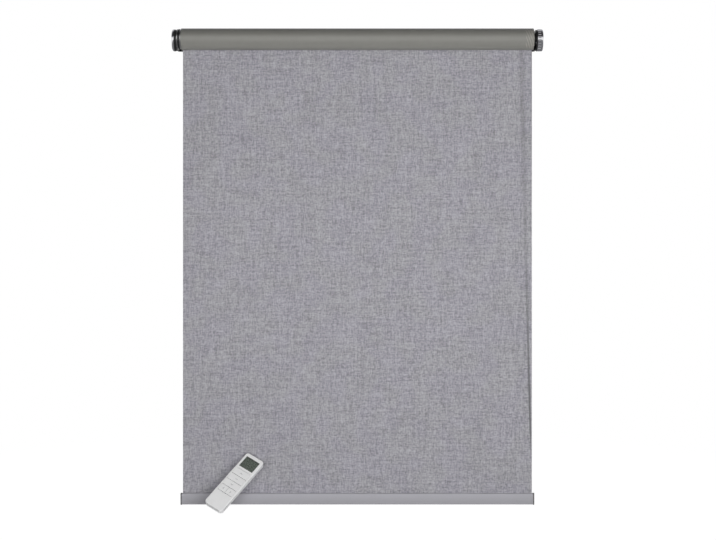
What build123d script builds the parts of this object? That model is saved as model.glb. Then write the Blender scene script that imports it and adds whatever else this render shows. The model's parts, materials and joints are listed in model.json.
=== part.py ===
from build123d import *
import os
from math import acos, cos, degrees, pi, radians, sin, sqrt, tan

# Battery roller blind for a wall or window frame, with its hand control.
# Millimetres. X runs along the roll, Y towards the wall, Z up.
# The origin is on the wall plane, midway between the brackets, level with the roll's axis.
# The roll is drawn round its own axis first, in (y, z), and is moved to that axis at the end.

# Fabric and roll
fabric_width = 760.0
fabric_t = 0.34
wound_gap = 0.06  # air between two turns of the wound fabric
wound_turns = 4  # turns that stay on the tube when the blind is fully down
tube_r = 21.0
tube_wall = 1.2
axis_to_wall = 40.0
bar_drop = 1009.0  # roll axis down to the underside of the bottom bar

# Keyed inside of the tube
channel_r = 1.5  # round channel that holds the fabric's edge strip
channel_wall = 0.9
channel_depth = 2.3  # tube surface down to the channel's centre
channel_mouth = 1.4
key_rib_w = 2.4
key_rib_h = 2.4
key_clearance = 0.2
strip_clearance = 0.25

# Idle end, from the fabric's edge outwards
tube_overhang = 3.0
plug_flange_t = 3.2
plug_flange_r = 21.9
running_gap = 0.5
collar_t = 2.8
collar_r = 21.6
plate_t = 3.0
seat_t = 2.0
cover_left_depth = 5.5
plug_length = 40.0
pin_r = 4.0
pin_clearance = 0.06
pin_reach = 2.3  # pin tip beyond the bracket plate
pin_guide = 9.0  # length of the plug's bore round the pin
pin_collar_r = 6.4
pin_collar_t = 3.0
spring_chamber_r = 7.4
spring_wire_r = 0.6
spring_r = 5.3
spring_turns = 5
spring_wire_sides = 8
spring_gap = 0.25
plug_cap_t = 3.0

# Brackets
cover_r = 23.75
cover_offset = 2.4  # covers sit this much below the roll's axis
plate_r = 22.4
arm_top = 19.5
arm_bottom = 20.5
bend_r = 4.0
bend_stretch = 0.5  # inside of the bend rounder than the outside less the thickness
foot_corner_r = 5.0
foot_width = 40.0
screw_hole_r = 2.6
screw_inset = 12.0  # wall screws inside the edges of the fabric
screw_spacing_z = 24.0
seat_flange_r = 23.2
seat_spigot = 1.0
cover_fit = 0.08  # radial clearance of a cover on its seat
cover_wall = 1.3
cover_left_round = 4.4
rivet_r = 1.6
rivet_head_r = 2.2
rivet_head_t = 1.1
rivet_circle_r = 17.4
rivet_clearance = 0.05
rivet_angles = (205, 335)  # round the centre of the covers, from the wall side
rivet_pocket = 0.2  # room round each rivet head in the idler collar

# Motor end, from the tube's end outwards
neck_length = 4.6
cover_gap = 0.2
cover_right_depth = 12.1
cover_right_wall = 2.2
cover_right_round = 2.4
flute_count = 24
flute_r = 1.75
flute_depth = 1.0
flute_length = 6.2
flute_rim = 1.0  # plain band between the cover's open edge and the flutes
socket_t = 5.6
star_teeth = 12
star_r = 12.9
star_depth = 1.1
star_clearance = 0.2
head_end_gap = 1.9  # end of the motor head to the inside of its cover
clip_t = 1.2
clip_r = 15.2
clip_groove_depth = 1.6
port_width = 12.0
port_height = 6.6
port_depth = 5.0
port_shell_width = 9.0
port_shell_height = 3.3
port_shell_wall = 0.4
port_shell_depth = 2.4
port_z = -4.6
button_r = 2.2
button_travel = 0.6
button_proud = 0.6
button_depth = 3.4
button_clearance = 0.12
lens_r = 1.4
top_feature_z = 5.2
top_feature_y = 4.2

# Motor unit inside the tube
can_r = 14.0
can_wall = 1.0
can_gap = 4.0  # tube end to the start of the steel can
inner_fit = 0.06  # what slides into the can, all round
head_spigot = 10.0
crown_length = 15.0
crown_clearance = 0.1
crown_flange_t = 0.8
crown_flange_r = 20.6
board_length = 50.0
board_width = 24.6
board_t = 1.2
chip_size = 7.0
chip_t = 1.6
cell_r = 9.1
cell_length = 65.0
cell_nub_r = 2.8
cell_nub_t = 0.9
cell_fit = 0.15
cradle_wall = 1.2
cradle_rib_w = 2.6
cradle_end_t = 1.6
cradle_end_hole_r = 4.0
rail_depth = 2.9  # radial depth of the rails beside the board
rail_height = 6.4
rail_groove_fit = 0.08
unit_gap = 4.0  # between the head, the board and the cells
motor_r = 12.6
motor_length = 50.0
motor_flat = 10.4
motor_boss_r = 5.0
motor_boss_t = 2.0
motor_plate_t = 2.0
motor_screw_circle_r = 8.0
motor_shaft_r = 1.15

# Planetary gearbox
gear_module = 0.45
sun_teeth = 12
planet_teeth = 18
ring_teeth = sun_teeth + 2 * planet_teeth
planet_count = 3
pressure_angle = 20.0
addendum = 0.8  # in modules
dedendum = 1.1
backlash = 0.06
gear_width = 10.0
gear_side_gap = 0.4
planet_pin_r = 1.25
planet_bore_gap = 0.05
carrier_t = 2.4
carrier_r = 9.4
carrier_plate_t = 1.4
shaft_r = 4.0
shaft_flat = 3.2
bush_wall = 1.6
bush_clearance = 0.05
flange_spigot = 8.0
ring_length = 26.4
flange_t = 2.0
drive_wheel_length = 14.0
drive_wheel_gap = 2.0
drive_hub_r = 8.0
drive_web_t = 3.0
drive_rim_t = 2.2
spoke_count = 6
spoke_width = 2.4
shaft_clip_t = 1.0
shaft_clip_r = 6.2
shaft_end = 2.0
screw_r = 1.0
screw_head_r = 1.9
screw_head_t = 1.0
screw_length = 4.0
screw_sunk = 0.12  # head of a screw below the surface round it

# Bottom bar
bar_height = 24.2
bar_depth = 9.0
bar_overhang = 2.0  # bar beyond the fabric at each end
bar_wall = 1.1
bar_top_round = 3.0
bar_bottom_round = 1.8
bar_channel_r = 2.2
bar_channel_depth = 4.0
bar_mouth = 1.5
bar_cap_t = 2.9
bar_cap_proud = 0.7
bar_cap_plug = 9.0
bar_cap_fit = 0.15
bar_strip_r = 1.9
strip_slot_depth = 1.4

# Hand control, drawn upright with its face towards -Y and its lower end at z = 0
remote_w = 46.0
remote_l = 150.0
remote_t = 14.0
remote_corner = 7.0
remote_face_round = 1.6
remote_back_round = 4.0
remote_wall = 1.6
remote_seam = 8.0
window_w = 35.0
window_h = 29.0
window_from_top = 8.2
window_t = 1.2
window_recess = 0.9
lcd_t = 2.4
lcd_margin = 0.3
keys_from_top = 43.0
keys_from_bottom = 40.6
key_w = 36.8
key_slot = 0.7
key_side_gap = 0.2
key_t = 1.9
key_lip = 0.7
key_lip_t = 0.7
key_lip_gap = 0.1
key_travel = 0.6
key_rows = 4
stem_r = 1.8
switch_size = 6.0
switch_t = 1.6
switch_gap = 0.15  # a released key above its switch
remote_board_t = 1.6
remote_board_w = 40.0
remote_board_from_top = 6.0
remote_board_to_pocket = 4.6  # lower end of the board above the wall round the cell
post_r = 2.0
post_from_side = 3.4
board_screw_r = 0.9
board_screw_head_r = 1.7
board_screw_head_t = 1.0
board_screw_length = 4.0
coin_r = 12.25
coin_t = 5.0
pocket_wall = 1.2
pocket_fit = 0.15
contact_t = 0.4
contact_w = 6.0
door_over_cell = 1.95  # door wider than the cell, all round
door_gap = 0.15
door_rim = 1.5
door_lug_reach = 1.6
door_lug_w = 7.0
door_lug_t = 1.0
door_under = 0.05  # lugs below the inside of the shell
door_slot = (15.0, 2.0)
door_slot_depth = 0.8
remote_turn = 34.6  # clockwise, as the viewer sees it
remote_lean = 41.5  # back from upright
remote_x = -262.0
remote_to_bar = 3.0  # in front of the way of the bottom bar
sill_gap = 2.0  # bottom bar above the surface that the control stands on

# Stations along X, worked out from the sizes above
fabric_left = -fabric_width / 2
fabric_right = fabric_width / 2
tube_left = fabric_left - tube_overhang
tube_right = fabric_right
plug_out = tube_left - plug_flange_t
collar_in = plug_out - running_gap
plate_left_in = collar_in - collar_t
plate_left_out = plate_left_in - plate_t
seat_left_out = plate_left_out - seat_t
cover_left_out = seat_left_out - cover_left_depth
plate_right_in = tube_right + neck_length
plate_right_out = plate_right_in + plate_t
socket_out = plate_right_out + socket_t
cover_right_in = plate_right_out + cover_gap
cover_right_out = cover_right_in + cover_right_depth
head_out = cover_right_out - cover_wall - head_end_gap
can_right = tube_right - can_gap
can_inner_r = can_r - can_wall
cradle_right = can_right - head_spigot
board_right = cradle_right - unit_gap
cells_right = board_right - board_length - unit_gap
cells_left = cells_right - 2 * cell_length
motor_right = cells_left - cradle_end_t
motor_left = motor_right - motor_length
ring_right = motor_left - motor_plate_t
ring_left = ring_right - ring_length
can_left = ring_left - flange_spigot
carrier_left = ring_left + gear_side_gap
carrier_right = carrier_left + carrier_t
gear_left = carrier_right + gear_side_gap
gear_right = gear_left + gear_width
wheel_right = can_left - flange_t - drive_wheel_gap
wheel_left = wheel_right - drive_wheel_length
shaft_left = wheel_left - shaft_clip_t - shaft_end

# Radii of the roll and heights of the bar
wound_pitch = fabric_t + wound_gap
roll_r = tube_r + wound_gap + fabric_t + wound_turns * wound_pitch
sheet_y = roll_r - fabric_t / 2  # middle of the hanging sheet, from the roll's axis
bar_bottom = -bar_drop
bar_top = bar_bottom + bar_height
bar_channel_z = bar_top - bar_channel_depth
bar_length = fabric_width + 2 * bar_overhang
cover_z = -cover_offset
channel_centre = tube_r - channel_depth
planet_orbit = gear_module * (sun_teeth + planet_teeth) / 2

# Places along the hand control, from its lower end
door_r = coin_r + door_over_cell
door_lug_r = door_r + door_lug_reach
cell_z = remote_back_round + door_lug_r
board_low = cell_z + coin_r + pocket_fit + pocket_wall + remote_board_to_pocket
board_high = remote_l - remote_board_from_top
key_pitch = (remote_l - keys_from_top - keys_from_bottom) / key_rows

to_axis = Pos(0, -axis_to_wall, 0)


def along_x(section, x_from, x_to):
    """A section drawn in (y, z), run along X."""
    return extrude(Plane.YZ.offset(x_from) * section, amount=x_to - x_from)


def disc(radius, x_from, x_to, y=0.0, z=0.0):
    return along_x(Pos(y, z) * Circle(radius), x_from, x_to)


def turned(points, z=0.0):
    """A shape turned round the X axis from a closed outline of (x, radius) points."""
    outline = make_face(Polyline(*points, close=True))
    return Pos(0, 0, z) * revolve(outline, axis=Axis.X)


def box_between(x, y, z):
    """A block between two values on each axis."""
    size = (x[1] - x[0], y[1] - y[0], z[1] - z[0])
    middle = ((x[0] + x[1]) / 2, (y[0] + y[1]) / 2, (z[0] + z[1]) / 2)
    return Pos(*middle) * Box(*size)


# Roller tube, the fabric wound on it and the fabric that hangs from it

def key_ribs(extra):
    """The two plain ribs inside the tube, widened all round by extra."""
    width = key_rib_w + 2 * extra
    height = key_rib_h + tube_wall + extra
    rib = Pos(tube_r - height / 2, 0) * Rectangle(height, width)
    return Rot(0, 0, 120) * rib + Rot(0, 0, 240) * rib


def channel_bulge(extra):
    """The wall round the fabric channel, as far as the tube's own wall."""
    radius = channel_r + channel_wall + extra
    reach = tube_r - channel_centre
    web = Pos(channel_centre + reach / 2, 0) * Rectangle(reach, 2 * radius)
    return Pos(channel_centre, 0) * Circle(radius) + web


def keyed_outline(radius):
    """What slides into the tube: a disc with slots for the ribs and the channel."""
    return Circle(radius) - channel_bulge(key_clearance) - key_ribs(key_clearance)


def roller_tube():
    wall = Circle(tube_r) - Circle(tube_r - tube_wall)
    inside = (channel_bulge(0) + key_ribs(0)) & Circle(tube_r - tube_wall / 2)
    mouth_length = channel_depth + 1.0
    mouth = Pos(channel_centre + mouth_length / 2, 0) * Rectangle(mouth_length, channel_mouth)
    section = wall + inside - Pos(channel_centre, 0) * Circle(channel_r) - mouth
    return along_x(section, tube_left, tube_right)


def fabric_strip():
    """Edge strip in the tube's channel, with the flag that the fabric is bonded to."""
    rod = Pos(channel_centre, 0) * Circle(channel_r - strip_clearance)
    flag_w = channel_mouth - 2 * strip_clearance
    flag = Pos(channel_centre + channel_depth / 2, 0) * Rectangle(channel_depth, flag_w)
    return along_x(rod + flag, fabric_left, fabric_right)


def spiral_edge(start_r):
    """Half circles from the back of the roll inwards, over the top and under the bottom."""
    arcs = []
    low_centre = -wound_pitch / 2
    for turn in range(wound_turns):
        high_r = start_r - turn * wound_pitch
        low_r = high_r - wound_pitch / 2
        front = -high_r
        back = low_centre + low_r
        arcs.append(ThreePointArc((high_r, 0), (0, high_r), (front, 0)))
        arcs.append(ThreePointArc((front, 0), (low_centre, -low_r), (back, 0)))
    return arcs


def fabric_roll():
    """The turns that stay on the tube, as one unbroken sheet wound in a spiral."""
    outer = spiral_edge(roll_r)
    inner = spiral_edge(roll_r - fabric_t)
    last = roll_r - wound_turns * wound_pitch
    ends = [
        Line((roll_r, 0), (roll_r - fabric_t, 0)),
        Line((last, 0), (last - fabric_t, 0)),
    ]
    section = make_face(outer + inner + ends)
    return along_x(section, fabric_left, fabric_right)


def fabric_drop():
    """The hanging sheet, from the back of the roll down into the bottom bar."""
    low = bar_channel_z + bar_strip_r - strip_slot_depth + wound_gap
    return box_between(
        (fabric_left, fabric_right),
        (sheet_y - fabric_t / 2, sheet_y + fabric_t / 2),
        (low, 0),
    )


# Idle end: plug, sprung pin and its spring

def idle_plug():
    body = along_x(keyed_outline(tube_r - tube_wall - key_clearance), tube_left, tube_left + plug_length)
    flange = disc(plug_flange_r, plug_out, tube_left)
    flange = chamfer(flange.edges().group_by(Axis.X)[0], 0.6)
    guide_end = plug_out + pin_guide
    bore = disc(pin_r + pin_clearance, plug_out - 1, guide_end + 1)
    chamber = disc(spring_chamber_r, guide_end, tube_left + plug_length + 1)
    lightening = [
        Rot(60 * (1 + 2 * k), 0, 0)
        * disc(3.0, guide_end, tube_left + plug_length + 1, y=13.2)
        for k in range(3)
    ]
    return body + flange - bore - chamber - lightening


def plug_cap():
    """Pressed into the open end of the spring chamber."""
    x_end = tube_left + plug_length
    cap = disc(spring_chamber_r - inner_fit, x_end - plug_cap_t, x_end)
    return cap - disc(1.5, x_end - plug_cap_t - 1, x_end + 1)


def idler_pin():
    """Pin with a collar that stops against the end of the plug's bore."""
    guide_end = plug_out + pin_guide
    tip = plate_left_out - pin_reach
    tail = guide_end + pin_collar_t + 5.0
    stem = disc(pin_r, tip, tail)
    stem = chamfer(stem.edges().group_by(Axis.X)[0], 0.8)
    collar_from = guide_end + inner_fit
    return stem + disc(pin_collar_r, collar_from, collar_from + pin_collar_t)


def helix_point(x_from, pitch, quarter_turns):
    angle = quarter_turns * pi / 2
    x = x_from + pitch * quarter_turns / 4
    return (x, spring_r * cos(angle), spring_r * sin(angle))


def pin_spring():
    """Open coil spring between the pin's collar and the plug's cap, in quarter turns."""
    guide_end = plug_out + pin_guide
    x_from = guide_end + inner_fit + pin_collar_t + spring_wire_r + spring_gap
    x_to = tube_left + plug_length - plug_cap_t - spring_wire_r - spring_gap
    pitch = (x_to - x_from) / spring_turns
    arcs = [
        ThreePointArc(
            helix_point(x_from, pitch, k),
            helix_point(x_from, pitch, k + 0.5),
            helix_point(x_from, pitch, k + 1),
        )
        for k in range(4 * spring_turns)
    ]
    path = Wire(arcs)
    start = Plane(origin=path @ 0, z_dir=path % 0)
    return sweep(start * RegularPolygon(spring_wire_r, spring_wire_sides), path=path)


# Brackets and what is fixed to them

def nearest_corner(face, x, y):
    return face.vertices().sort_by_distance((x, y, 0))[0]


def bent_arm(inner_x, side):
    """Arm and foot as one bent strip: an outline seen from above, run up along Z."""
    outer_x = inner_x + side * plate_t
    end_x = inner_x - side * foot_width
    front = axis_to_wall - plate_t
    corners = [
        (outer_x, 0),
        (outer_x, axis_to_wall),
        (end_x, axis_to_wall),
        (end_x, front),
        (inner_x, front),
        (inner_x, 0),
    ]
    outline = make_face(Polyline(*corners, close=True))
    outline = fillet(nearest_corner(outline, outer_x, axis_to_wall), bend_r)
    outline = fillet(nearest_corner(outline, inner_x, front), bend_r - plate_t + bend_stretch)
    strip = extrude(Plane.XY.offset(-arm_bottom) * outline, amount=arm_bottom + arm_top)
    foot_end = strip.edges().filter_by(Axis.Y).group_by(Axis.X)[0 if side > 0 else -1]
    return fillet(foot_end, foot_corner_r)


def bracket(inner_x, side, hole):
    """Steel bracket: round side plate, arm to the wall and a foot turned inwards.

    inner_x is the plate's face towards the roll and side is +1 at the right, -1 at the left.
    """
    plate_x = sorted((inner_x, inner_x + side * plate_t))
    body = disc(plate_r, *plate_x, z=cover_z) + bent_arm(inner_x, side)
    screw_hole = Rot(90, 0, 0) * Cylinder(screw_hole_r, 4 * plate_t)
    screws = [
        Pos(side * (fabric_width / 2 - screw_inset), axis_to_wall, level * screw_spacing_z / 2) * screw_hole
        for level in (-1, 1)
    ]
    return body - hole - screws


def rivet_places():
    """Where each plastic seat is riveted to its plate, in (y, z)."""
    return [
        (rivet_circle_r * cos(radians(a)), cover_z + rivet_circle_r * sin(radians(a)))
        for a in rivet_angles
    ]


def rivet_holes(x_from, x_to):
    return [disc(rivet_r + rivet_clearance, x_from, x_to, y, z) for y, z in rivet_places()]


def bracket_left():
    reach = 2 * plate_t
    hole = disc(pin_r + 2 * pin_clearance, plate_left_out - reach, plate_left_in + reach)
    rivets = rivet_holes(plate_left_out - reach, plate_left_in + reach)
    return bracket(plate_left_in, -1, hole) - rivets


def bracket_right():
    reach = 2 * plate_t
    hole = along_x(star_outline(star_clearance), plate_right_in - reach, plate_right_out + reach)
    rivets = rivet_holes(plate_right_in - reach, plate_right_out + reach)
    return bracket(plate_right_in, 1, hole) - rivets


def idler_collar():
    """Bright ring on the idle bracket that the plug's flange runs against."""
    ring = disc(collar_r, plate_left_in, collar_in)
    ring = chamfer(ring.edges().group_by(Axis.X)[-1], 0.5)
    heads = [
        disc(rivet_head_r + rivet_pocket, plate_left_in - 1, collar_in + 1, y, z)
        for y, z in rivet_places()
    ]
    return ring - disc(pin_r + 2 * pin_clearance, plate_left_in - 1, collar_in + 1) - heads


def seat_left():
    """Black ring outside the idle bracket, with the spigot that its cover snaps on."""
    flange = disc(seat_flange_r, seat_left_out, plate_left_out, z=cover_z)
    spigot_r = cover_r - cover_wall - cover_fit
    spigot = disc(spigot_r, seat_left_out - seat_spigot, seat_left_out, z=cover_z)
    spigot_hole = disc(spigot_r - 1.8, seat_left_out - seat_spigot - 1, seat_left_out, z=cover_z)
    body = flange + spigot - spigot_hole
    body = body - disc(pin_r + 4 * pin_clearance, seat_left_out - 5, plate_left_out + 1)
    return body - rivet_holes(seat_left_out - 1, plate_left_out + 1)


def rivets():
    """Four rivets that hold the two seats to their plates."""
    solids = []
    for y, z in rivet_places():
        left_in = plate_left_in + rivet_head_t
        solids.append(
            disc(rivet_r, seat_left_out - rivet_head_t, left_in, y, z)
            + disc(rivet_head_r, plate_left_in, left_in, y, z)
            + disc(rivet_head_r, seat_left_out - rivet_head_t, seat_left_out, y, z)
        )
        right_in = plate_right_in - rivet_head_t
        solids.append(
            disc(rivet_r, right_in, socket_out + rivet_head_t, y, z)
            + disc(rivet_head_r, right_in, plate_right_in, y, z)
            + disc(rivet_head_r, socket_out, socket_out + rivet_head_t, y, z)
        )
    return Compound(children=solids)


def cover_left():
    """Bright domed cap over the idle bracket."""
    outer = disc(cover_r, cover_left_out, seat_left_out, z=cover_z)
    outer = fillet(outer.edges().group_by(Axis.X)[0], cover_left_round)
    inner_from = cover_left_out + cover_wall
    inner = disc(cover_r - cover_wall, inner_from, seat_left_out + 1, z=cover_z)
    inner = fillet(inner.edges().group_by(Axis.X)[0], cover_left_round - cover_wall)
    return outer - inner


# Motor end: socket, cover and the head of the motor

def star_outline(extra):
    """Splined outline that stops the motor head turning in its bracket."""
    body = Circle(star_r - star_depth + extra)
    tooth_w = 2 * pi * star_r / star_teeth / 2 + 2 * extra
    tooth = Pos(star_r / 2 + extra / 2, 0) * Rectangle(star_r + extra, tooth_w)
    for k in range(star_teeth):
        body = body + Rot(0, 0, k * 360 / star_teeth) * tooth
    return body & Circle(star_r + extra)


def motor_socket():
    """Seat for the motor head and its cover, outside the right-hand bracket."""
    outer_r = cover_r - cover_right_wall - cover_fit
    body = disc(outer_r, plate_right_out, socket_out, z=cover_z)
    body = chamfer(body.edges().group_by(Axis.X)[-1], 0.6)
    body = body - along_x(star_outline(star_clearance), plate_right_out - 1, socket_out + 1)
    return body - rivet_holes(plate_right_out - 1, socket_out + 1)


def cover_right():
    """Bright cap with grip flutes, pulled off to reach the charging port."""
    outer = disc(cover_r, cover_right_in, cover_right_out, z=cover_z)
    outer = fillet(outer.edges().group_by(Axis.X)[-1], cover_right_round)
    inner_to = cover_right_out - cover_wall
    body = outer - disc(cover_r - cover_right_wall, cover_right_in - 1, inner_to, z=cover_z)
    flute_from = cover_right_in + flute_rim
    middle = cover_r + flute_r - flute_depth
    for k in range(flute_count):
        flute = disc(flute_r, flute_from, flute_from + flute_length, y=middle)
        body = body - Pos(0, 0, cover_z) * Rot((k + 0.5) * 360 / flute_count, 0, 0) * flute
    return body


def motor_head():
    """Head of the motor: spigot in the can, neck, star boss and the charging well."""
    spigot = disc(can_inner_r - inner_fit, can_right - head_spigot, can_right)
    neck = disc(can_r, can_right, plate_right_in - running_gap)
    boss = along_x(star_outline(0), plate_right_in - running_gap, head_out)
    body = spigot + neck + boss
    groove_from = socket_out + inner_fit
    groove = disc(star_r + 1, groove_from, groove_from + clip_t + inner_fit) - disc(
        star_r - clip_groove_depth, groove_from - 1, groove_from + clip_t + 1
    )
    well = along_x(
        Pos(0, port_z) * RectangleRounded(port_width, port_height, 1.4), head_out - port_depth, head_out + 1
    )
    shell = along_x(port_outline(0), head_out - port_depth - port_shell_depth, head_out)
    bore_end = head_out - button_depth - button_travel
    bore = disc(button_r + button_clearance, bore_end, head_out + 1, -top_feature_y, top_feature_z)
    lens_hole = disc(lens_r, head_out - 2.0, head_out + 1, top_feature_y, top_feature_z)
    hollow = disc(
        can_inner_r - 2.2, can_right - head_spigot - 1, can_right + neck_length
    )
    return body - groove - well - shell - bore - lens_hole - hollow - sinks(0, 3)


def port_outline(inset):
    half = port_shell_height / 2 - inset
    return Pos(0, port_z) * RectangleRounded(
        port_shell_width - 2 * inset, port_shell_height - 2 * inset, half - 0.01
    )


def port_shell():
    """Metal shell and tongue of the charging socket, at the bottom of the well."""
    x_from = head_out - port_depth - port_shell_depth
    x_to = head_out - port_depth
    shell = along_x(port_outline(0) - port_outline(port_shell_wall), x_from, x_to)
    back = along_x(port_outline(0), x_from, x_from + 0.5)
    tongue = along_x(Pos(0, port_z) * Rectangle(6.4, 0.7), x_from, x_to - 0.4)
    return shell + back + tongue


def head_clip():
    """Open spring ring in the groove of the star boss, outside the socket."""
    x_from = socket_out + inner_fit * 1.5
    ring = Circle(clip_r) - Circle(star_r - clip_groove_depth + inner_fit)
    gap = Pos(0, -clip_r) * Rectangle(14.0, clip_r)
    return along_x(ring - gap, x_from, x_from + clip_t)


def set_button():
    x_from = head_out - button_depth
    button = disc(button_r, x_from, head_out + button_proud, -top_feature_y, top_feature_z)
    return fillet(button.edges().group_by(Axis.X)[-1], 0.4)


def status_lens():
    return disc(lens_r - inner_fit, head_out - 2.0, head_out + 0.3, top_feature_y, top_feature_z)


# Motor unit inside the tube

def crown_ring():
    """Runs on the motor's head and carries the tube's right-hand end."""
    x_from = tube_right - crown_length
    body = along_x(keyed_outline(tube_r - tube_wall - key_clearance), x_from, tube_right)
    body = body + disc(crown_flange_r, tube_right, tube_right + crown_flange_t)
    return body - disc(can_r + crown_clearance, x_from - 1, tube_right + neck_length)


def motor_can():
    can = disc(can_r, can_left, can_right) - disc(can_inner_r, can_left - 1, can_right + 1)
    return can - sinks(0, 6)


def control_board():
    """Radio and charging board on edge rails, with its three largest components."""
    x_from = board_right - board_length
    board = box_between(
        (x_from, board_right), (-board_width / 2, board_width / 2), (-board_t / 2, board_t / 2)
    )
    for k, share in enumerate((0.2, 0.5, 0.8)):
        x = x_from + share * board_length
        size = chip_size + 2 * (k == 1)
        board = board + Pos(x, 0, board_t / 2 + chip_t / 2) * Box(size, size, chip_t)
    return board


def battery_cells():
    """Two round cells end to end, with their positive nubs towards the board."""
    cells = []
    for k in range(2):
        x_to = cells_right - k * cell_length
        body_to = x_to - cell_nub_t - inner_fit
        body = disc(cell_r, x_to - cell_length + inner_fit, body_to)
        cells.append(body + disc(cell_nub_r, body_to, x_to - inner_fit))
    return Compound(children=cells)


def board_rails():
    """Grooved rails along both edges of the board, up to the motor's head."""
    reach = can_inner_r - inner_fit
    band = (Circle(reach) - Circle(reach - rail_depth)) & Rectangle(2 * can_r, rail_height)
    groove = Rectangle(
        board_width + 2 * rail_groove_fit, board_t + 2 * rail_groove_fit
    )
    return along_x(band - groove, cells_right - unit_gap, cradle_right)


def battery_cradle():
    """Ribbed sleeve that centres the cells in the can, with the rails for the board."""
    inner_r = cell_r + cell_fit
    outer_r = inner_r + cradle_wall
    reach = can_inner_r - inner_fit
    section = Circle(outer_r)
    rib = Pos(reach / 2, 0) * Rectangle(reach, cradle_rib_w)
    for k in range(3):
        section = section + Rot(0, 0, 90 + 120 * k) * rib
    section = (section & Circle(reach)) - Circle(inner_r)
    sleeve = along_x(section, motor_right, cells_right)
    end = disc(outer_r, motor_right, cells_left) - disc(cradle_end_hole_r, motor_right - 1, cells_left + 1)
    return sleeve + end + board_rails()


def dc_motor():
    """Round motor with two flats, its front boss towards the gearbox."""
    section = Circle(motor_r) & Rectangle(4 * motor_r, 2 * motor_flat)
    body = along_x(section, motor_left, motor_right)
    body = body + disc(motor_boss_r, motor_left - motor_boss_t, motor_left)
    body = body - disc(motor_shaft_r + planet_bore_gap, motor_left - 10, motor_left + 6)
    return body - sinks(6, 2)


def unit_screw():
    """Countersunk screw along X with the flat of its head at x = 0, pointing to -X."""
    return turned(
        [(0, 0), (0, screw_head_r), (-screw_head_t, screw_r), (-screw_length, screw_r), (-screw_length, 0)]
    )


def screw_sink(extra):
    """What a unit screw takes out of the pieces that it joins."""
    return turned(
        [
            (1, 0),
            (1, screw_head_r + extra),
            (0, screw_head_r + extra),
            (-screw_head_t, screw_r + extra),
            (-screw_length - extra, screw_r + extra),
            (-screw_length - extra, 0),
        ]
    )


def unit_screw_places():
    """Three screws through the can into the head, three into the flange, two in the motor."""
    head_x = can_right - head_spigot / 2
    flange_x = can_left + flange_spigot / 2
    flush = can_r - screw_sunk
    places = []
    for x in (head_x, flange_x):
        for k in range(3):
            outward = Rot(90 + 120 * k, 0, 0) * Pos(x, flush, 0) * Rot(0, 0, 90)
            places.append(outward)
    for side in (-1, 1):
        places.append(Pos(ring_right + inner_fit, side * motor_screw_circle_r, 0) * Rot(0, 180, 0))
    return places


def unit_screws():
    return Compound(children=[place * unit_screw() for place in unit_screw_places()])


def sinks(first, count):
    return [place * screw_sink(inner_fit / 2) for place in unit_screw_places()[first:first + count]]


def motor_plate():
    """Plate behind the ring gear that the motor's face is screwed to."""
    plate = disc(can_inner_r - inner_fit, ring_right, motor_left)
    plate = plate - disc(motor_boss_r + inner_fit, ring_right - 1, motor_left + 1)
    return plate - sinks(6, 2)


# Planetary gearbox

def involute(radius, base_r):
    """The angle by which an involute has turned away from its start at that radius."""
    share = max(1.0, radius / base_r)
    return sqrt(share * share - 1) - acos(1 / share)


def gear_face(teeth, tip_r, root_r, thinning):
    """Toothed outline with involute flanks, with a tooth centred on the first axis.

    thinning narrows each tooth on the pitch circle, and widens it where negative.
    """
    pitch_r = gear_module * teeth / 2
    base_r = pitch_r * cos(radians(pressure_angle))
    half_tooth = (pi * gear_module / 2 - thinning) / 2 / pitch_r
    shift = half_tooth + involute(pitch_r, base_r)
    flank_from = max(base_r, root_r)
    radii = [flank_from + (tip_r - flank_from) * share for share in (0, 0.5, 1)]
    flank = [(r, shift - involute(r, base_r)) for r in radii]
    edges = []
    step = 2 * pi / teeth

    def at(radius, angle):
        return (radius * cos(angle), radius * sin(angle))

    for k in range(teeth):
        centre = k * step
        up = [at(r, centre - a) for r, a in flank]
        down = [at(r, centre + a) for r, a in reversed(flank)]
        root_from = at(root_r, centre - flank[0][1])
        root_to = at(root_r, centre + flank[0][1])
        next_root = at(root_r, centre + step - flank[0][1])
        if flank_from > root_r + 1e-6:
            edges.append(Line(root_from, up[0]))
            edges.append(Line(down[-1], root_to))
        edges.append(ThreePointArc(*up))
        edges.append(ThreePointArc(up[-1], at(tip_r, centre), down[0]))
        edges.append(ThreePointArc(*down))
        edges.append(ThreePointArc(root_to, at(root_r, centre + step / 2), next_root))
    return make_face(edges)


def tip_radius(teeth):
    return gear_module * (teeth / 2 + addendum)


def root_radius(teeth):
    return gear_module * (teeth / 2 - dedendum)


def sun_gear():
    """Pinion on the motor's shaft."""
    face = gear_face(sun_teeth, tip_radius(sun_teeth), root_radius(sun_teeth), backlash)
    pinion = along_x(face, gear_left, gear_right + carrier_plate_t + 2 * gear_side_gap)
    return pinion + disc(motor_shaft_r, gear_left, motor_left + 5)


def planet_angle(index):
    return 360 / planet_count * index


def planet_gear(index):
    """A planet with a tooth space towards the sun and another towards the ring."""
    face = gear_face(planet_teeth, tip_radius(planet_teeth), root_radius(planet_teeth), backlash)
    face = Rot(0, 0, 180 / planet_teeth) * face - Circle(planet_pin_r + planet_bore_gap)
    gear = along_x(Pos(planet_orbit, 0) * face, gear_left, gear_right)
    return Rot(planet_angle(index), 0, 0) * gear


def ring_gear():
    """Internal ring, fixed in the can: its tooth spaces are cut as wide teeth."""
    pitch_r = gear_module * ring_teeth / 2
    cutter_tip = pitch_r + dedendum * gear_module
    cutter_root = pitch_r - addendum * gear_module
    cutter = gear_face(ring_teeth, cutter_tip, cutter_root, -backlash)
    face = Circle(can_inner_r - inner_fit) - Rot(0, 0, 180 / ring_teeth) * cutter
    return along_x(face, ring_left, ring_right)


def on_orbit(shape):
    """The same shape at each planet's place."""
    return [Rot(planet_angle(k), 0, 0) * shape for k in range(planet_count)]


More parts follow.
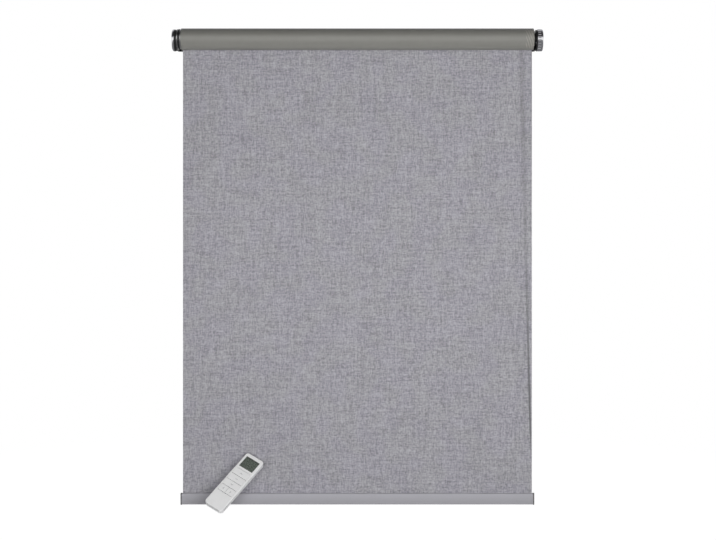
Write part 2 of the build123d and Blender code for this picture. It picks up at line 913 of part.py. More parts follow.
def shaft_section(extra):
    """Round shaft with two flats."""
    return Circle(shaft_r + extra) & Rectangle(4 * shaft_r, 2 * (shaft_flat + extra))


def planet_carrier():
    """Carrier plate and the output shaft, flatted where the drive wheel sits."""
    plate = disc(carrier_r, carrier_left, carrier_right)
    round_part = disc(shaft_r, wheel_right, carrier_left)
    flatted = along_x(shaft_section(0), shaft_left, wheel_right)
    groove_from = wheel_left - shaft_clip_t - inner_fit
    groove = disc(shaft_r + 1, groove_from, wheel_left) - disc(
        shaft_flat - 0.5, groove_from - 1, wheel_left + 1
    )
    pin_holes = on_orbit(disc(planet_pin_r, carrier_left - 1, carrier_right + 1, y=planet_orbit))
    return plate + round_part + flatted - groove - pin_holes


def planet_pins():
    x_to = gear_right + gear_side_gap + carrier_plate_t
    return Compound(
        children=on_orbit(disc(planet_pin_r, carrier_left, x_to, y=planet_orbit))
    )


def carrier_plate():
    """Open plate on the far ends of the planet pins."""
    x_from = gear_right + gear_side_gap
    plate = disc(carrier_r, x_from, x_from + carrier_plate_t)
    plate = plate - disc(tip_radius(sun_teeth) + gear_side_gap, x_from - 1, x_from + carrier_plate_t + 1)
    return plate - on_orbit(
        disc(planet_pin_r, x_from - 1, x_from + carrier_plate_t + 1, y=planet_orbit)
    )


def gearbox_flange():
    """Closes the can and holds the output bush."""
    spigot = disc(can_inner_r - inner_fit, can_left, ring_left)
    rim = disc(can_r, can_left - flange_t, can_left)
    bush_r = shaft_r + bush_clearance + bush_wall
    hole = disc(bush_r, can_left - flange_t - 1, ring_left + 1)
    pocket = disc(can_inner_r - 2.5, can_left + 2.0, ring_left + 1) - disc(
        bush_r + 1.6, can_left, ring_left + 2
    )
    return spigot + rim - hole - pocket - sinks(3, 3)


def output_bush():
    outer_r = shaft_r + bush_clearance + bush_wall
    bush = disc(outer_r, can_left - flange_t, ring_left)
    return bush - disc(shaft_r + bush_clearance, can_left - flange_t - 1, ring_left + 1)


def drive_wheel():
    """Keyed wheel on the output shaft that turns the tube."""
    outline = keyed_outline(tube_r - tube_wall - key_clearance)
    body = along_x(outline, wheel_left, wheel_right)
    inner_r = channel_centre - channel_r - channel_wall - key_clearance - drive_rim_t
    pocket_face = Circle(inner_r) - Circle(drive_hub_r)
    spoke = Pos(inner_r / 2, 0) * Rectangle(inner_r, spoke_width)
    for k in range(spoke_count):
        pocket_face = pocket_face - Rot(0, 0, 360 / spoke_count * (k + 0.5)) * spoke
    half = (drive_wheel_length - drive_web_t) / 2
    body = body - along_x(pocket_face, wheel_left - 1, wheel_left + half)
    body = body - along_x(pocket_face, wheel_right - half, wheel_right + 1)
    return body - along_x(shaft_section(inner_fit), wheel_left - 1, wheel_right + 1)


def shaft_clip():
    """Open ring in the shaft's groove that keeps the drive wheel on."""
    ring = Circle(shaft_clip_r) - Circle(shaft_flat - 0.5 + inner_fit)
    gap = Pos(shaft_clip_r / 2 + 1, 0) * Rectangle(shaft_clip_r, 5.0)
    x_to = wheel_left - inner_fit / 2
    return along_x(ring - gap, x_to - shaft_clip_t + inner_fit / 2, x_to)


# Bottom bar

def bar_outline(grow):
    """Outline of the bar in (y, z): flat faces with a fuller round at the top."""
    height = bar_height + 2 * grow
    depth = bar_depth + 2 * grow
    middle = (bar_top + bar_bottom) / 2
    face = Pos(sheet_y, middle) * Rectangle(depth, height)
    face = fillet(face.vertices().group_by(Axis.Y)[-1], bar_top_round + grow)
    return fillet(face.vertices().group_by(Axis.Y)[0], bar_bottom_round + grow)


def bar_cavity(shrink):
    """The closed chamber of the bar below its fabric channel."""
    top = bar_channel_z - bar_channel_r - bar_wall - shrink
    bottom = bar_bottom + bar_wall + shrink
    width = bar_depth - 2 * bar_wall - 2 * shrink
    corner = bar_bottom_round - bar_wall + 0.4
    return Pos(sheet_y, (top + bottom) / 2) * RectangleRounded(width, top - bottom, corner)


def bottom_bar():
    mouth = Pos(sheet_y, bar_channel_z + bar_channel_depth / 2 + 0.5) * Rectangle(
        bar_mouth, bar_channel_depth + 1.0
    )
    channel = Pos(sheet_y, bar_channel_z) * Circle(bar_channel_r)
    section = bar_outline(0) - bar_cavity(0) - channel - mouth
    return along_x(section, -bar_length / 2, bar_length / 2)


def bar_strip():
    """Round strip in the bar's channel, slotted for the edge of the fabric."""
    slot = Pos(sheet_y, bar_channel_z + bar_strip_r - strip_slot_depth / 2 + 0.5) * Rectangle(
        fabric_t + 2 * wound_gap, strip_slot_depth + 1.0
    )
    section = Pos(sheet_y, bar_channel_z) * Circle(bar_strip_r) - slot
    return along_x(section, fabric_left, fabric_right)


def bar_cap(side):
    """End cap a little larger than the bar, with a plug in the bar's chamber."""
    inner = side * bar_length / 2
    outer = inner + side * bar_cap_t
    plug_end = inner - side * bar_cap_plug
    cap = along_x(bar_outline(bar_cap_proud), *sorted((inner, outer)))
    outer_edges = cap.edges().group_by(Axis.X)[-1 if side > 0 else 0]
    cap = chamfer(outer_edges, 0.5)
    plug = along_x(bar_cavity(bar_cap_fit), *sorted((inner, plug_end)))
    hollow = along_x(bar_cavity(bar_cap_fit + 1.2), *sorted((inner, plug_end - side * 1.0)))
    return cap + (plug - hollow)


# Hand control

def remote_outline(inset):
    """Rounded outline of the case in (x, z), inset all round."""
    outline = RectangleRounded(
        remote_w - 2 * inset, remote_l - 2 * inset, remote_corner - inset
    )
    return Pos(0, remote_l / 2) * outline


def along_y(section, y_from, y_to):
    """A section drawn in (x, z), run along Y."""
    return extrude(Plane.XZ.offset(-y_from) * section, amount=y_from - y_to)


def case_block():
    block = along_y(remote_outline(0), 0, remote_t)
    block = fillet(block.edges().group_by(Axis.Y)[0], remote_face_round)
    return fillet(block.edges().group_by(Axis.Y)[-1], remote_back_round)


def case_hollow():
    hollow = along_y(remote_outline(remote_wall), remote_wall, remote_t - remote_wall)
    return fillet(hollow.edges().group_by(Axis.Y)[-1], remote_back_round - remote_wall)


def case_slice(y_from, y_to):
    """Part of the hollow case between two depths."""
    cut = box_between((-remote_w, remote_w), (y_from, y_to), (-1, remote_l + 1))
    return (case_block() - case_hollow()) & cut


def window_middle():
    return remote_l - window_from_top - window_h / 2


def keys_top():
    return remote_l - keys_from_top


def remote_front():
    """Face and side walls, open for the window and the keys."""
    shell = case_slice(-1, remote_seam)
    window = along_y(Pos(0, window_middle()) * Rectangle(window_w, window_h), -1, remote_wall + 1)
    height = key_rows * key_pitch + key_slot
    field = along_y(
        Pos(0, keys_top() - height / 2 + key_slot / 2)
        * RectangleRounded(key_w + 2 * key_side_gap, height, 0.8),
        -1,
        remote_wall + 1,
    )
    seam = along_y(
        remote_outline(-1) - remote_outline(0.5), remote_seam - 0.5, remote_seam + 1
    )
    return shell + cell_pocket() - window - field - seam


def cell_pocket():
    """Round wall inside the face that holds the cell, open where its contact comes in."""
    wall = Circle(coin_r + pocket_fit + pocket_wall) - Circle(coin_r + pocket_fit)
    opening = Pos(0, coin_r) * Rectangle(contact_w + 1.0, 2 * coin_r)
    pocket = along_y(
        Pos(0, cell_z) * (wall - opening), remote_wall - 0.1, remote_t - remote_wall - coin_t + 1.4
    )
    return pocket & along_y(remote_outline(remote_wall / 2), 0, remote_t)


def board_back():
    """Depth of the board's rear face, from the keys, their stems and the switches."""
    return key_t + key_stem_length() + key_travel + switch_gap + switch_t + remote_board_t


def key_stem_length():
    return 1.6


def post_places():
    """Where the board is screwed down, in (x, z): at its lower end and above the keys."""
    display_low = window_middle() - window_h / 2 - lcd_margin
    x = remote_board_w / 2 - post_from_side
    levels = (board_low + post_from_side, (display_low + keys_top()) / 2)
    return [(side * x, z) for side in (-1, 1) for z in levels]


def board_posts():
    front = board_back()
    post = Circle(post_r) - Circle(board_screw_r + inner_fit)
    return [
        along_y(Pos(x, z) * post, front, remote_t - remote_wall + 0.2) for x, z in post_places()
    ]


def at_cell(section, y_from, y_to):
    """A section centred on the cell, run along Y."""
    return along_y(Pos(0, cell_z) * section, y_from, y_to)


def remote_back():
    """Rear shell, with the board's posts and a round hole for the battery door."""
    shell = case_slice(remote_seam, remote_t + 1)
    hole = at_cell(Circle(door_r + door_gap), remote_seam, remote_t + 1)
    return shell + board_posts() - hole


def battery_door():
    """Round door turned with a coin: two lugs lock under the inside of the shell."""
    inside = remote_t - remote_wall
    lug_to = inside - door_under
    lug_from = lug_to - door_lug_t
    rim = Circle(door_r) - Circle(door_r - door_rim)
    lugs = (Circle(door_lug_r) & Rectangle(2 * door_lug_r, door_lug_w)) - Circle(door_r - door_rim)
    door = at_cell(Circle(door_r), inside, remote_t)
    door = door + at_cell(rim, lug_from, inside) + at_cell(lugs, lug_from, lug_to)
    return door - at_cell(Rectangle(*door_slot), remote_t - door_slot_depth, remote_t + 1)


def lcd_window():
    pane = Rectangle(window_w - 2 * inner_fit, window_h - 2 * inner_fit)
    return along_y(Pos(0, window_middle()) * pane, window_recess, window_recess + window_t)


def lcd_panel():
    """Display glass behind the window, standing on the board."""
    panel = Rectangle(window_w + 2 * lcd_margin, window_h + 2 * lcd_margin)
    face = window_recess + window_t + inner_fit
    board_front = board_back() - remote_board_t
    return along_y(Pos(0, window_middle()) * panel, face, min(face + lcd_t + 1.2, board_front))


def key_block(x_from, x_to, row):
    """A flush key with a lip behind the face and a stem over its switch."""
    top = keys_top() - row * key_pitch - key_slot / 2
    bottom = top - key_pitch + key_slot
    middle = ((x_from + x_to) / 2, (top + bottom) / 2)
    size = (x_to - x_from, top - bottom)
    cap = along_y(Pos(*middle) * Rectangle(*size), 0, key_t)
    cap = chamfer(cap.edges().group_by(Axis.Y)[0], 0.15)
    lip_side = key_lip if x_to > 0 else 0
    lip_from = x_from - (key_lip + key_side_gap if x_from < -1 else 0)
    lip_to = x_to + (key_lip + key_side_gap if lip_side and x_to > 1 else 0)
    lip_depth = remote_wall + key_lip_gap
    lip_middle = ((lip_from + lip_to) / 2, middle[1])
    lip_size = (lip_to - lip_from, size[1])
    lip = along_y(Pos(*lip_middle) * Rectangle(*lip_size), lip_depth, lip_depth + key_lip_t)
    stem = along_y(Pos(*middle) * Circle(stem_r), key_t, key_t + key_stem_length())
    return cap + lip + stem


def key_up():
    return key_block(-key_w / 2, key_w / 2, 0)


def key_stop():
    return key_block(-key_w / 2, key_w / 2, 1)


def key_down():
    return key_block(-key_w / 2, key_w / 2, 2)


def key_left():
    return key_block(-key_w / 2, -key_side_gap, 3)


def key_right():
    return key_block(key_side_gap, key_w / 2, 3)


def key_centres():
    """Middle of each key, in (x, z)."""
    rows = [(0, keys_top() - (row + 0.5) * key_pitch) for row in range(3)]
    side = (key_w / 2 + key_side_gap) / 2
    z = keys_top() - 3.5 * key_pitch
    return rows + [(-side, z), (side, z)]


def remote_board():
    outline = Pos(0, (board_low + board_high) / 2) * RectangleRounded(
        remote_board_w, board_high - board_low, 3.0
    )
    board = along_y(outline, board_back() - remote_board_t, board_back())
    holes = [
        along_y(Pos(x, z) * Circle(board_screw_r + inner_fit), 0, remote_t) for x, z in post_places()
    ]
    return board - holes


def key_switches():
    """Five push switches on the board, one under each key's stem."""
    front = board_back() - remote_board_t
    solids = []
    for x, z in key_centres():
        base = along_y(Pos(x, z) * Rectangle(switch_size, switch_size), front - switch_t * 0.6, front)
        solids.append(base + along_y(Pos(x, z) * Circle(1.6), front - switch_t, front - switch_t * 0.6))
    return Compound(children=solids)


def board_screw():
    """Pan-head screw along Y, its head in front of y = 0."""
    head = along_y(Circle(board_screw_head_r), -board_screw_head_t, 0)
    shank = along_y(Circle(board_screw_r), 0, board_screw_length)
    return head + shank


def board_screws():
    front = board_back() - remote_board_t
    return Compound(children=[Pos(x, front, z) * board_screw() for x, z in post_places()])


def coin_cell():
    y_to = remote_t - remote_wall - contact_t - 0.2
    cell = along_y(Pos(0, cell_z) * Circle(coin_r), y_to - coin_t, y_to)
    return chamfer(cell.edges().group_by(Axis.Y)[0], 0.8)


def cell_contacts():
    """Bent spring strip from the board to the front of the cell."""
    y_cell = remote_t - remote_wall - contact_t - 0.2 - coin_t
    y_board = board_back() - remote_board_t
    low = box_between(
        (-contact_w / 2, contact_w / 2), (y_cell - contact_t - inner_fit, y_cell - inner_fit), (cell_z, board_low)
    )
    step = box_between(
        (-contact_w / 2, contact_w / 2),
        (min(y_board, y_cell - inner_fit) - contact_t - inner_fit, max(y_board, y_cell) - inner_fit),
        (board_low - contact_t, board_low),
    )
    pad = box_between(
        (-contact_w / 2, contact_w / 2),
        (y_board - contact_t - inner_fit, y_board - inner_fit),
        (board_low - contact_t, board_low + 4.0),
    )
    return low + step + pad


def remote_place():
    """Stands the control on the sill in front of the bar, turned and leaning back."""
    turn = Rot(-remote_lean, 0, 0) * Rot(0, remote_turn, 0)
    box = (turn * case_block()).bounding_box()
    bar_front = -axis_to_wall + sheet_y - bar_depth / 2 - bar_cap_proud
    x = remote_x - (box.min.X + box.max.X) / 2
    y = bar_front - remote_to_bar - box.max.Y
    z = bar_bottom - sill_gap - box.min.Z
    return Pos(x, y, z) * turn


blind_parts = {
    "roller_tube": roller_tube,
    "fabric_strip": fabric_strip,
    "fabric_roll": fabric_roll,
    "fabric_drop": fabric_drop,
    "idle_plug": idle_plug,
    "plug_cap": plug_cap,
    "idler_pin": idler_pin,
    "pin_spring": pin_spring,
    "bracket_left": bracket_left,
    "bracket_right": bracket_right,
    "idler_collar": idler_collar,
    "seat_left": seat_left,
    "rivets": rivets,
    "cover_left": cover_left,
    "cover_right": cover_right,
    "motor_socket": motor_socket,
    "motor_head": motor_head,
    "port_shell": port_shell,
    "head_clip": head_clip,
    "set_button": set_button,
    "status_lens": status_lens,
    "crown_ring": crown_ring,
    "motor_can": motor_can,
    "control_board": control_board,
    "battery_cells": battery_cells,
    "battery_cradle": battery_cradle,
    "dc_motor": dc_motor,
    "motor_plate": motor_plate,
    "unit_screws": unit_screws,
    "sun_gear": sun_gear,
    "ring_gear": ring_gear,
    "planet_carrier": planet_carrier,
    "planet_pins": planet_pins,
    "carrier_plate": carrier_plate,
    "gearbox_flange": gearbox_flange,
    "output_bush": output_bush,
    "drive_wheel": drive_wheel,
    "shaft_clip": shaft_clip,
    "bottom_bar": bottom_bar,
    "bar_strip": bar_strip,
}

remote_parts = {
    "remote_front": remote_front,
    "remote_back": remote_back,
    "battery_door": battery_door,
    "lcd_window": lcd_window,
    "lcd_panel": lcd_panel,
    "key_up": key_up,
    "key_stop": key_stop,
    "key_down": key_down,
    "key_left": key_left,
    "key_right": key_right,
    "remote_board": remote_board,
    "key_switches": key_switches,
    "board_screws": board_screws,
    "coin_cell": coin_cell,
    "cell_contacts": cell_contacts,
}


def write(name, shape):
    export_step(shape, os.path.join("parts", name + ".step"))


os.makedirs("parts", exist_ok=True)
for name, make in blind_parts.items():
    write(name, to_axis * make())
for index in range(planet_count):
    write(f"planet_gear_{index + 1}", to_axis * planet_gear(index))
for name, side in (("bar_cap_left", -1), ("bar_cap_right", 1)):
    write(name, to_axis * bar_cap(side))
place = remote_place()
for name, make in remote_parts.items():
    write(name, place * make())
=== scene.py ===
# %% [markdown]
# # A battery roller blind and its hand control
#
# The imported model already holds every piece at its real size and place.
# This lesson dresses it for one photograph: a blind that hangs fully down in front of white,
# seen straight on, with the white hand control leaning in front of its lower left corner.
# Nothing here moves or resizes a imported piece. A few are replaced by finer meshes.

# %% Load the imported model
import json
import math

import bmesh
import bpy
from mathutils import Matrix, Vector


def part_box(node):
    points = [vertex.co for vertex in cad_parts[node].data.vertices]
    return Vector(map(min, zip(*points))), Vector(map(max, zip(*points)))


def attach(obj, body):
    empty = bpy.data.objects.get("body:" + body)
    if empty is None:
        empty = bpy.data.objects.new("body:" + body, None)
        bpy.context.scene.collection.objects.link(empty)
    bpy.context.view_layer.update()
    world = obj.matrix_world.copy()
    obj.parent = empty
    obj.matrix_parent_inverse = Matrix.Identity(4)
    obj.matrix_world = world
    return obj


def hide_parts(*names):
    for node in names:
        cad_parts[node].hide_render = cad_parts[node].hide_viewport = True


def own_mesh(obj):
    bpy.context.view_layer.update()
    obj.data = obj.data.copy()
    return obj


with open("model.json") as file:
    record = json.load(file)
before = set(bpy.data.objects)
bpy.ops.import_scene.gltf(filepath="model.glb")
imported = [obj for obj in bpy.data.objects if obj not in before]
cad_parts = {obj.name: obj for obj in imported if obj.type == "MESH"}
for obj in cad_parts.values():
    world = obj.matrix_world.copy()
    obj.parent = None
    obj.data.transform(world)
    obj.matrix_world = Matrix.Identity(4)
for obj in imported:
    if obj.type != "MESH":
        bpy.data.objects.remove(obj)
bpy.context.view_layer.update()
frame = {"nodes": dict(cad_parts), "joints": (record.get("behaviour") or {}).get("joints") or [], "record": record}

# %% [markdown]
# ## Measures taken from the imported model
#
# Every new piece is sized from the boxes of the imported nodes, so that it lands where they are.
# X runs along the roll, Y towards the wall and Z up. Lengths are in metres.

# %% Measures
MM = 0.001

tube_low, tube_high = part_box("roller_tube")
sheet_low, sheet_high = (Vector(corner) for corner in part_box("fabric_drop"))
roll_low, roll_high = (Vector(corner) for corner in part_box("fabric_roll"))
ROLL_Y = (tube_low.y + tube_high.y) / 2
ROLL_R = roll_high.y - ROLL_Y
SHEET_T = sheet_high.y - sheet_low.y
SHEET_LENGTH = -sheet_low.z
BAR_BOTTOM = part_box("bottom_bar")[0].z
BAR_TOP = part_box("bottom_bar")[1].z
print("roll radius", round(ROLL_R / MM, 2), "mm, sheet", round(SHEET_LENGTH / MM), "mm long")

# %% [markdown]
# ## Camera
#
# The photograph is level and looks straight on, with its eye at half the height of the blind.
# The ends of the roll show a little of their lower and inner sides, which sets how far away
# it stands: nearer, and the ends would open up more.

# %% Camera
CAMERA_TO_ROLL = 3.0
CAMERA_BELOW_ROLL = 0.4987
CAMERA_ASIDE = 0.0013
FOCAL_LENGTH = 69.76  # in millimetres, for a sensor 36 mm wide

camera_data = bpy.data.cameras.new("camera")
camera_data.lens = FOCAL_LENGTH
camera = bpy.data.objects.new("camera", camera_data)
camera.location = (CAMERA_ASIDE, ROLL_Y - CAMERA_TO_ROLL, -CAMERA_BELOW_ROLL)
camera.rotation_euler = (math.radians(90), 0, 0)
bpy.context.scene.collection.objects.link(camera)
bpy.context.scene.camera = camera
print("camera at", [round(v, 3) for v in camera.location])

# %% [markdown]
# ## Node sums as plain Python
#
# A pattern is mostly arithmetic: add two streaks, cut off what is below zero, scale what is left.
# In the node editor that is a web of Math nodes. The class Number lets the same sums be written
# as Python expressions, and each operator adds its Math node. The class Graph adds any other node
# through one method. Materials and the shape of the wound cloth are both made with these two.

# %% Number
class Number:
    """A number on a node's socket. Operators on it add Math nodes."""

    def __init__(self, graph, socket):
        self.graph = graph
        self.socket = socket

    def sum(self, operation, *values):
        node = self.graph.node("ShaderNodeMath", {"operation": operation}, dict(enumerate(values)))
        return Number(self.graph, node.outputs[0])

    def __add__(self, other):
        return self.sum("ADD", self, other)

    def __sub__(self, other):
        return self.sum("SUBTRACT", self, other)

    def __rsub__(self, other):
        return self.sum("SUBTRACT", other, self)

    def __mul__(self, other):
        return self.sum("MULTIPLY", self, other)

    def __truediv__(self, other):
        return self.sum("DIVIDE", self, other)

    def sine(self):
        return self.sum("SINE", self)

    def cosine(self):
        return self.sum("COSINE", self)

    def size(self):
        return self.sum("ABSOLUTE", self)

    def root(self):
        return self.sum("SQRT", self)

    def larger(self, other):
        return self.sum("MAXIMUM", self, other)

    def smaller(self, other):
        return self.sum("MINIMUM", self, other)

    def within(self, low, high):
        """0 at low and below, 1 at high and above, smooth between."""
        node = self.graph.node(
            "ShaderNodeMapRange",
            {"interpolation_type": "SMOOTHSTEP"},
            {"Value": self, "From Min": low, "From Max": high},
        )
        return Number(self.graph, node.outputs[0])


print("sums on sockets are ready")

# %% [markdown]
# Every node tree of this lesson is a Graph: those of the materials, of the world and of the rule
# that winds the cloth. A value that is fed to a socket may be a plain one, a Number or a socket.

# %% Graph
class Graph:
    """A node tree, with one method that adds any node and one that feeds a socket."""

    def __init__(self, tree):
        self.tree = tree
        self.tree.nodes.clear()

    def node(self, kind, settings=None, inputs=None):
        made = self.tree.nodes.new(kind)
        for name, value in (settings or {}).items():
            setattr(made, name, value)
        for key, value in (inputs or {}).items():
            self.feed(made.inputs[key], value)
        return made

    def feed(self, socket, value):
        if isinstance(value, Number):
            value = value.socket
        if isinstance(value, bpy.types.NodeSocket):
            self.tree.links.new(value, socket)
        else:
            socket.default_value = value


print("node trees are ready")

# %% [markdown]
# A Finish is a Graph that makes one material. Its patterns are laid out in metres in the packed
# model's own space, so they keep their scale on every piece and need no unwrapped surface.
# Colours read off the photograph are given from 0 to 255, and paint() turns them into the
# amounts of light that a shader works with.

# %% Finishes and colours
class Finish(Graph):
    """A material of one Principled shader."""

    def __init__(self, name, **sockets):
        self.material = bpy.data.materials.new(name)
        self.material.use_nodes = True
        super().__init__(self.material.node_tree)
        self.surface = self.node("ShaderNodeBsdfPrincipled", inputs=sockets)
        self.out = self.node(
            "ShaderNodeOutputMaterial", inputs={"Surface": self.surface.outputs[0]}
        )
        self.place = self.node("ShaderNodeTexCoord").outputs["Object"]

    def set(self, **sockets):
        """Feeds sockets of the surface, with spaces in their names written as _."""
        for name, value in sockets.items():
            self.feed(self.surface.inputs[name.replace("_", " ")], value)

    def along(self, axis):
        """The place along X, Y or Z, in metres."""
        parts = self.node("ShaderNodeSeparateXYZ", inputs={0: self.place})
        return Number(self, parts.outputs[axis])

    def noise(self, cell, detail=2.0, roughness=0.5, shift=0.0):
        """Noise from 0 to 1 whose cells have that size along X, Y and Z, in metres.

        Noises with different shifts don't look alike.
        """
        scaled = self.node(
            "ShaderNodeMapping",
            inputs={
                "Vector": self.place,
                "Location": (shift, shift, shift),
                "Scale": tuple(1 / size for size in cell),
            },
        )
        made = self.node(
            "ShaderNodeTexNoise",
            inputs={
                "Vector": scaled.outputs[0],
                "Scale": 1.0,
                "Detail": detail,
                "Roughness": roughness,
            },
        )
        return Number(self, made.outputs["Fac"])

    def blend(self, factor, first, second):
        """A colour between two colours."""
        made = self.node("ShaderNodeMix", {"data_type": "RGBA"}, {0: factor, 6: first, 7: second})
        return made.outputs[2]

    def relief(self, height, depth):
        """A bump whose height runs from 0 to 1 over that depth in metres."""
        made = self.node("ShaderNodeBump", inputs={"Height": height, "Distance": depth})
        self.set(Normal=made.outputs[0])
        return self


def paint(red, green, blue):
    """A colour given as the photograph shows it, from 0 to 255, for a shader's socket."""

    def linear(value):
        share = value / 255
        return share / 12.92 if share <= 0.04045 else ((share + 0.055) / 1.055) ** 2.4

    return (linear(red), linear(green), linear(blue), 1.0)


print("finishes are ready")

# %% [markdown]
# ## Floor, backdrop and light
#
# The photograph was taken in front of pure white. The floor and the world are therefore white
# to the camera and to reflections, while two lamps and a weak fill light decide how bright
# the blind is.

# %% World
FILL_LIGHT = 0.09
WHITE = (1, 1, 1, 1)


def white_to_the_camera(graph, lit, white):
    """Shows the second shader to the camera, reflections and glass, and the first to the rest."""
    path = graph.node("ShaderNodeLightPath").outputs
    seen = Number(graph, path["Is Camera Ray"])
    seen = seen.larger(Number(graph, path["Is Glossy Ray"]))
    seen = seen.larger(Number(graph, path["Is Transmission Ray"]))
    return graph.node("ShaderNodeMixShader", inputs={0: seen, 1: lit, 2: white}).outputs[0]


world = bpy.data.worlds.new("studio")
world.use_nodes = True
sky = Graph(world.node_tree)
fill = sky.node("ShaderNodeBackground", inputs={"Color": WHITE, "Strength": FILL_LIGHT})
plain = sky.node("ShaderNodeBackground", inputs={"Color": WHITE, "Strength": 1.0})
surface = white_to_the_camera(sky, fill.outputs[0], plain.outputs[0])
sky.node("ShaderNodeOutputWorld", inputs={"Surface": surface})
bpy.context.scene.world = world
bpy.context.scene.view_settings.view_transform = "Standard"
print("fill light", FILL_LIGHT)

# %% [markdown]
# The floor keeps a share of its real shading near the blind, so the hand control still casts
# a faint shadow. It turns pure white further off, where it would show a horizon.

# %% Floor
FLOOR_SIZE = 60.0
FLOOR_COLOUR = (0.9, 0.9, 0.9, 1)
FLOOR_SHADING = 0.30  # share of the real shading near the blind
FLOOR_GLOW = 1.34  # brings the lit floor back to white there
NEAR_ENDS = (0.5, 1.4)  # distances from the middle between which that part ends


def link(piece):
    bpy.context.scene.collection.objects.link(piece)
    return piece


def flat_piece(name, corners, material):
    mesh = bpy.data.meshes.new(name)
    mesh.from_pydata(corners, [], [tuple(range(len(corners)))])
    mesh.materials.append(material)
    return link(bpy.data.objects.new(name, mesh))


floor_z = min(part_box("remote_front")[0].z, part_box("remote_back")[0].z)
floor_finish = Finish("floor_white", Roughness=1.0)
floor_finish.set(Base_Color=FLOOR_COLOUR, Specular_IOR_Level=0.0)
away_x = floor_finish.along(0)
away_y = floor_finish.along(1)
away = (away_x * away_x + away_y * away_y).root().within(*NEAR_ENDS)
near_glow = floor_finish.node(
    "ShaderNodeEmission", inputs={"Color": WHITE, "Strength": FLOOR_GLOW}
)
far_glow = floor_finish.node("ShaderNodeEmission", inputs={"Color": WHITE, "Strength": 1.0})
near = floor_finish.node(
    "ShaderNodeMixShader",
    inputs={0: 1 - FLOOR_SHADING, 1: floor_finish.surface.outputs[0], 2: near_glow.outputs[0]},
)
shown = floor_finish.node(
    "ShaderNodeMixShader", inputs={0: away, 1: near.outputs[0], 2: far_glow.outputs[0]}
)
floor_finish.feed(
    floor_finish.out.inputs["Surface"],
    white_to_the_camera(floor_finish, floor_finish.surface.outputs[0], shown.outputs[0]),
)
reach = FLOOR_SIZE / 2
floor = flat_piece(
    "floor",
    [(x * reach, y * reach, floor_z) for x, y in ((-1, -1), (1, -1), (1, 1), (-1, 1))],
    floor_finish.material,
)
print("floor at", round(floor_z, 4))

# %% [markdown]
# The roll is brightest in its middle and dark along its top, which says that the light came
# from the front at the camera's height, and not from above. A second lamp stands behind, for
# views from the rear.

# %% Lamps
def soft_lamp(name, place, target, width, height, power):
    """A rectangular lamp that faces its target and is itself out of sight."""
    lamp_data = bpy.data.lights.new(name, "AREA")
    lamp_data.shape = "RECTANGLE"
    lamp_data.size = width
    lamp_data.size_y = height
    lamp_data.energy = power
    lamp = link(bpy.data.objects.new(name, lamp_data))
    lamp.location = place
    lamp.rotation_euler = (Vector(target) - Vector(place)).to_track_quat("-Z", "Y").to_euler()
    lamp.visible_camera = False
    lamp.visible_glossy = False


soft_lamp(
    "front_lamp", place=(0.2, -2.35, -0.6), target=(0, 0, -0.58), width=2.3, height=0.7, power=46.5
)
soft_lamp(
    "back_lamp", place=(-0.6, 3.2, -0.3), target=(0, 0, -0.5), width=2.4, height=2.0, power=80.0
)
print("one soft lamp in front and one behind")

# %% [markdown]
# Bright metal shows what stands round it, and in an all-white room it would vanish against
# the backdrop. A photographer hangs dark cards out of view for that. The chrome in the photograph
# has a grey rim, is dark below it, bright just above its middle and grey at the bottom. So one
# black card hangs overhead, which turns lighter towards its front and rear, and a grey one lies
# low. Only reflections see them, and they light nothing.

# %% Cards for the reflections
CARD_HALF_WIDTH = 3.0
CARD_BLUE = 1.05  # the chrome in the photograph is slightly blue
OVERHEAD = 0.9
OVERHEAD_STOPS = [(-2.3, 0.9), (-0.95, 0.045), (-0.1, 0.045), (0.7, 0.55), (3.0, 0.55)]
LOW_STOPS = [(-25.0, 0.20), (3.0, 0.20)]


def card(name, z, stops):
    """A level card whose stops say which grey it has at which place along Y."""
    finish = Finish(name)
    greys = [(grey, grey, grey * CARD_BLUE, 1) for _, grey in stops]
    shown = greys[0]
    for (y, _), (next_y, _), grey in zip(stops, stops[1:], greys[1:]):
        shown = finish.blend(finish.along(1).within(y, next_y), shown, grey)
    glow = finish.node("ShaderNodeEmission", inputs={"Color": shown})
    finish.feed(finish.out.inputs["Surface"], glow.outputs[0])
    front, rear = stops[0][0], stops[-1][0]
    ends = ((-1, front), (1, front), (1, rear), (-1, rear))
    corners = [(side * CARD_HALF_WIDTH, y, z) for side, y in ends]
    piece = flat_piece(name, corners, finish.material)
    for ray in ("camera", "diffuse", "transmission", "volume_scatter", "shadow"):
        setattr(piece, "visible_" + ray, False)


card("black_card", OVERHEAD, OVERHEAD_STOPS)
card("grey_card", floor_z + MM, LOW_STOPS)
print("a black card overhead and a grey card low down")

# %% [markdown]
# ## The woven cloth
#
# The cloth's face is a linen look: threads of slightly different greys, with thicker stretches,
# called slubs, along both threads. Noises that are drawn out along the width or along the drop
# stand for them: two long ones for the slubs and two short, fine ones for the threads' own
# shades. An even one is the grain, and a large one gives the violet cast that comes and goes.
# The real threads are about half a millimetre apart, far below what the photograph resolves,
# so the single threads and their relief only matter from close by.

# %% Weave of the cloth
SLUB_LENGTH = 70 * MM
SLUB_WIDTH = 4.2 * MM
GRAIN_SIZE = 4.5 * MM
CAST_SIZE = 60 * MM
THREAD_PITCH = 0.55 * MM
THREAD_LENGTH = 11 * MM  # stretch over which one thread keeps its shade
WEFT_SHARE = 0.72  # how strongly the slubs along the width show
WARP_SHARE = 0.48  # how strongly the slubs along the drop show
GRAIN_SHARE = 1.15
THREAD_SHARE = 1.3
WEAVE_DEPTH = 0.1 * MM

face = Finish("cloth_face", Roughness=0.92)


def patches(width, height, shift=0.0):
    """Noise on the cloth's face whose cells have that width and height."""
    return face.noise((width, 1.0, height), detail=1.0, shift=shift)


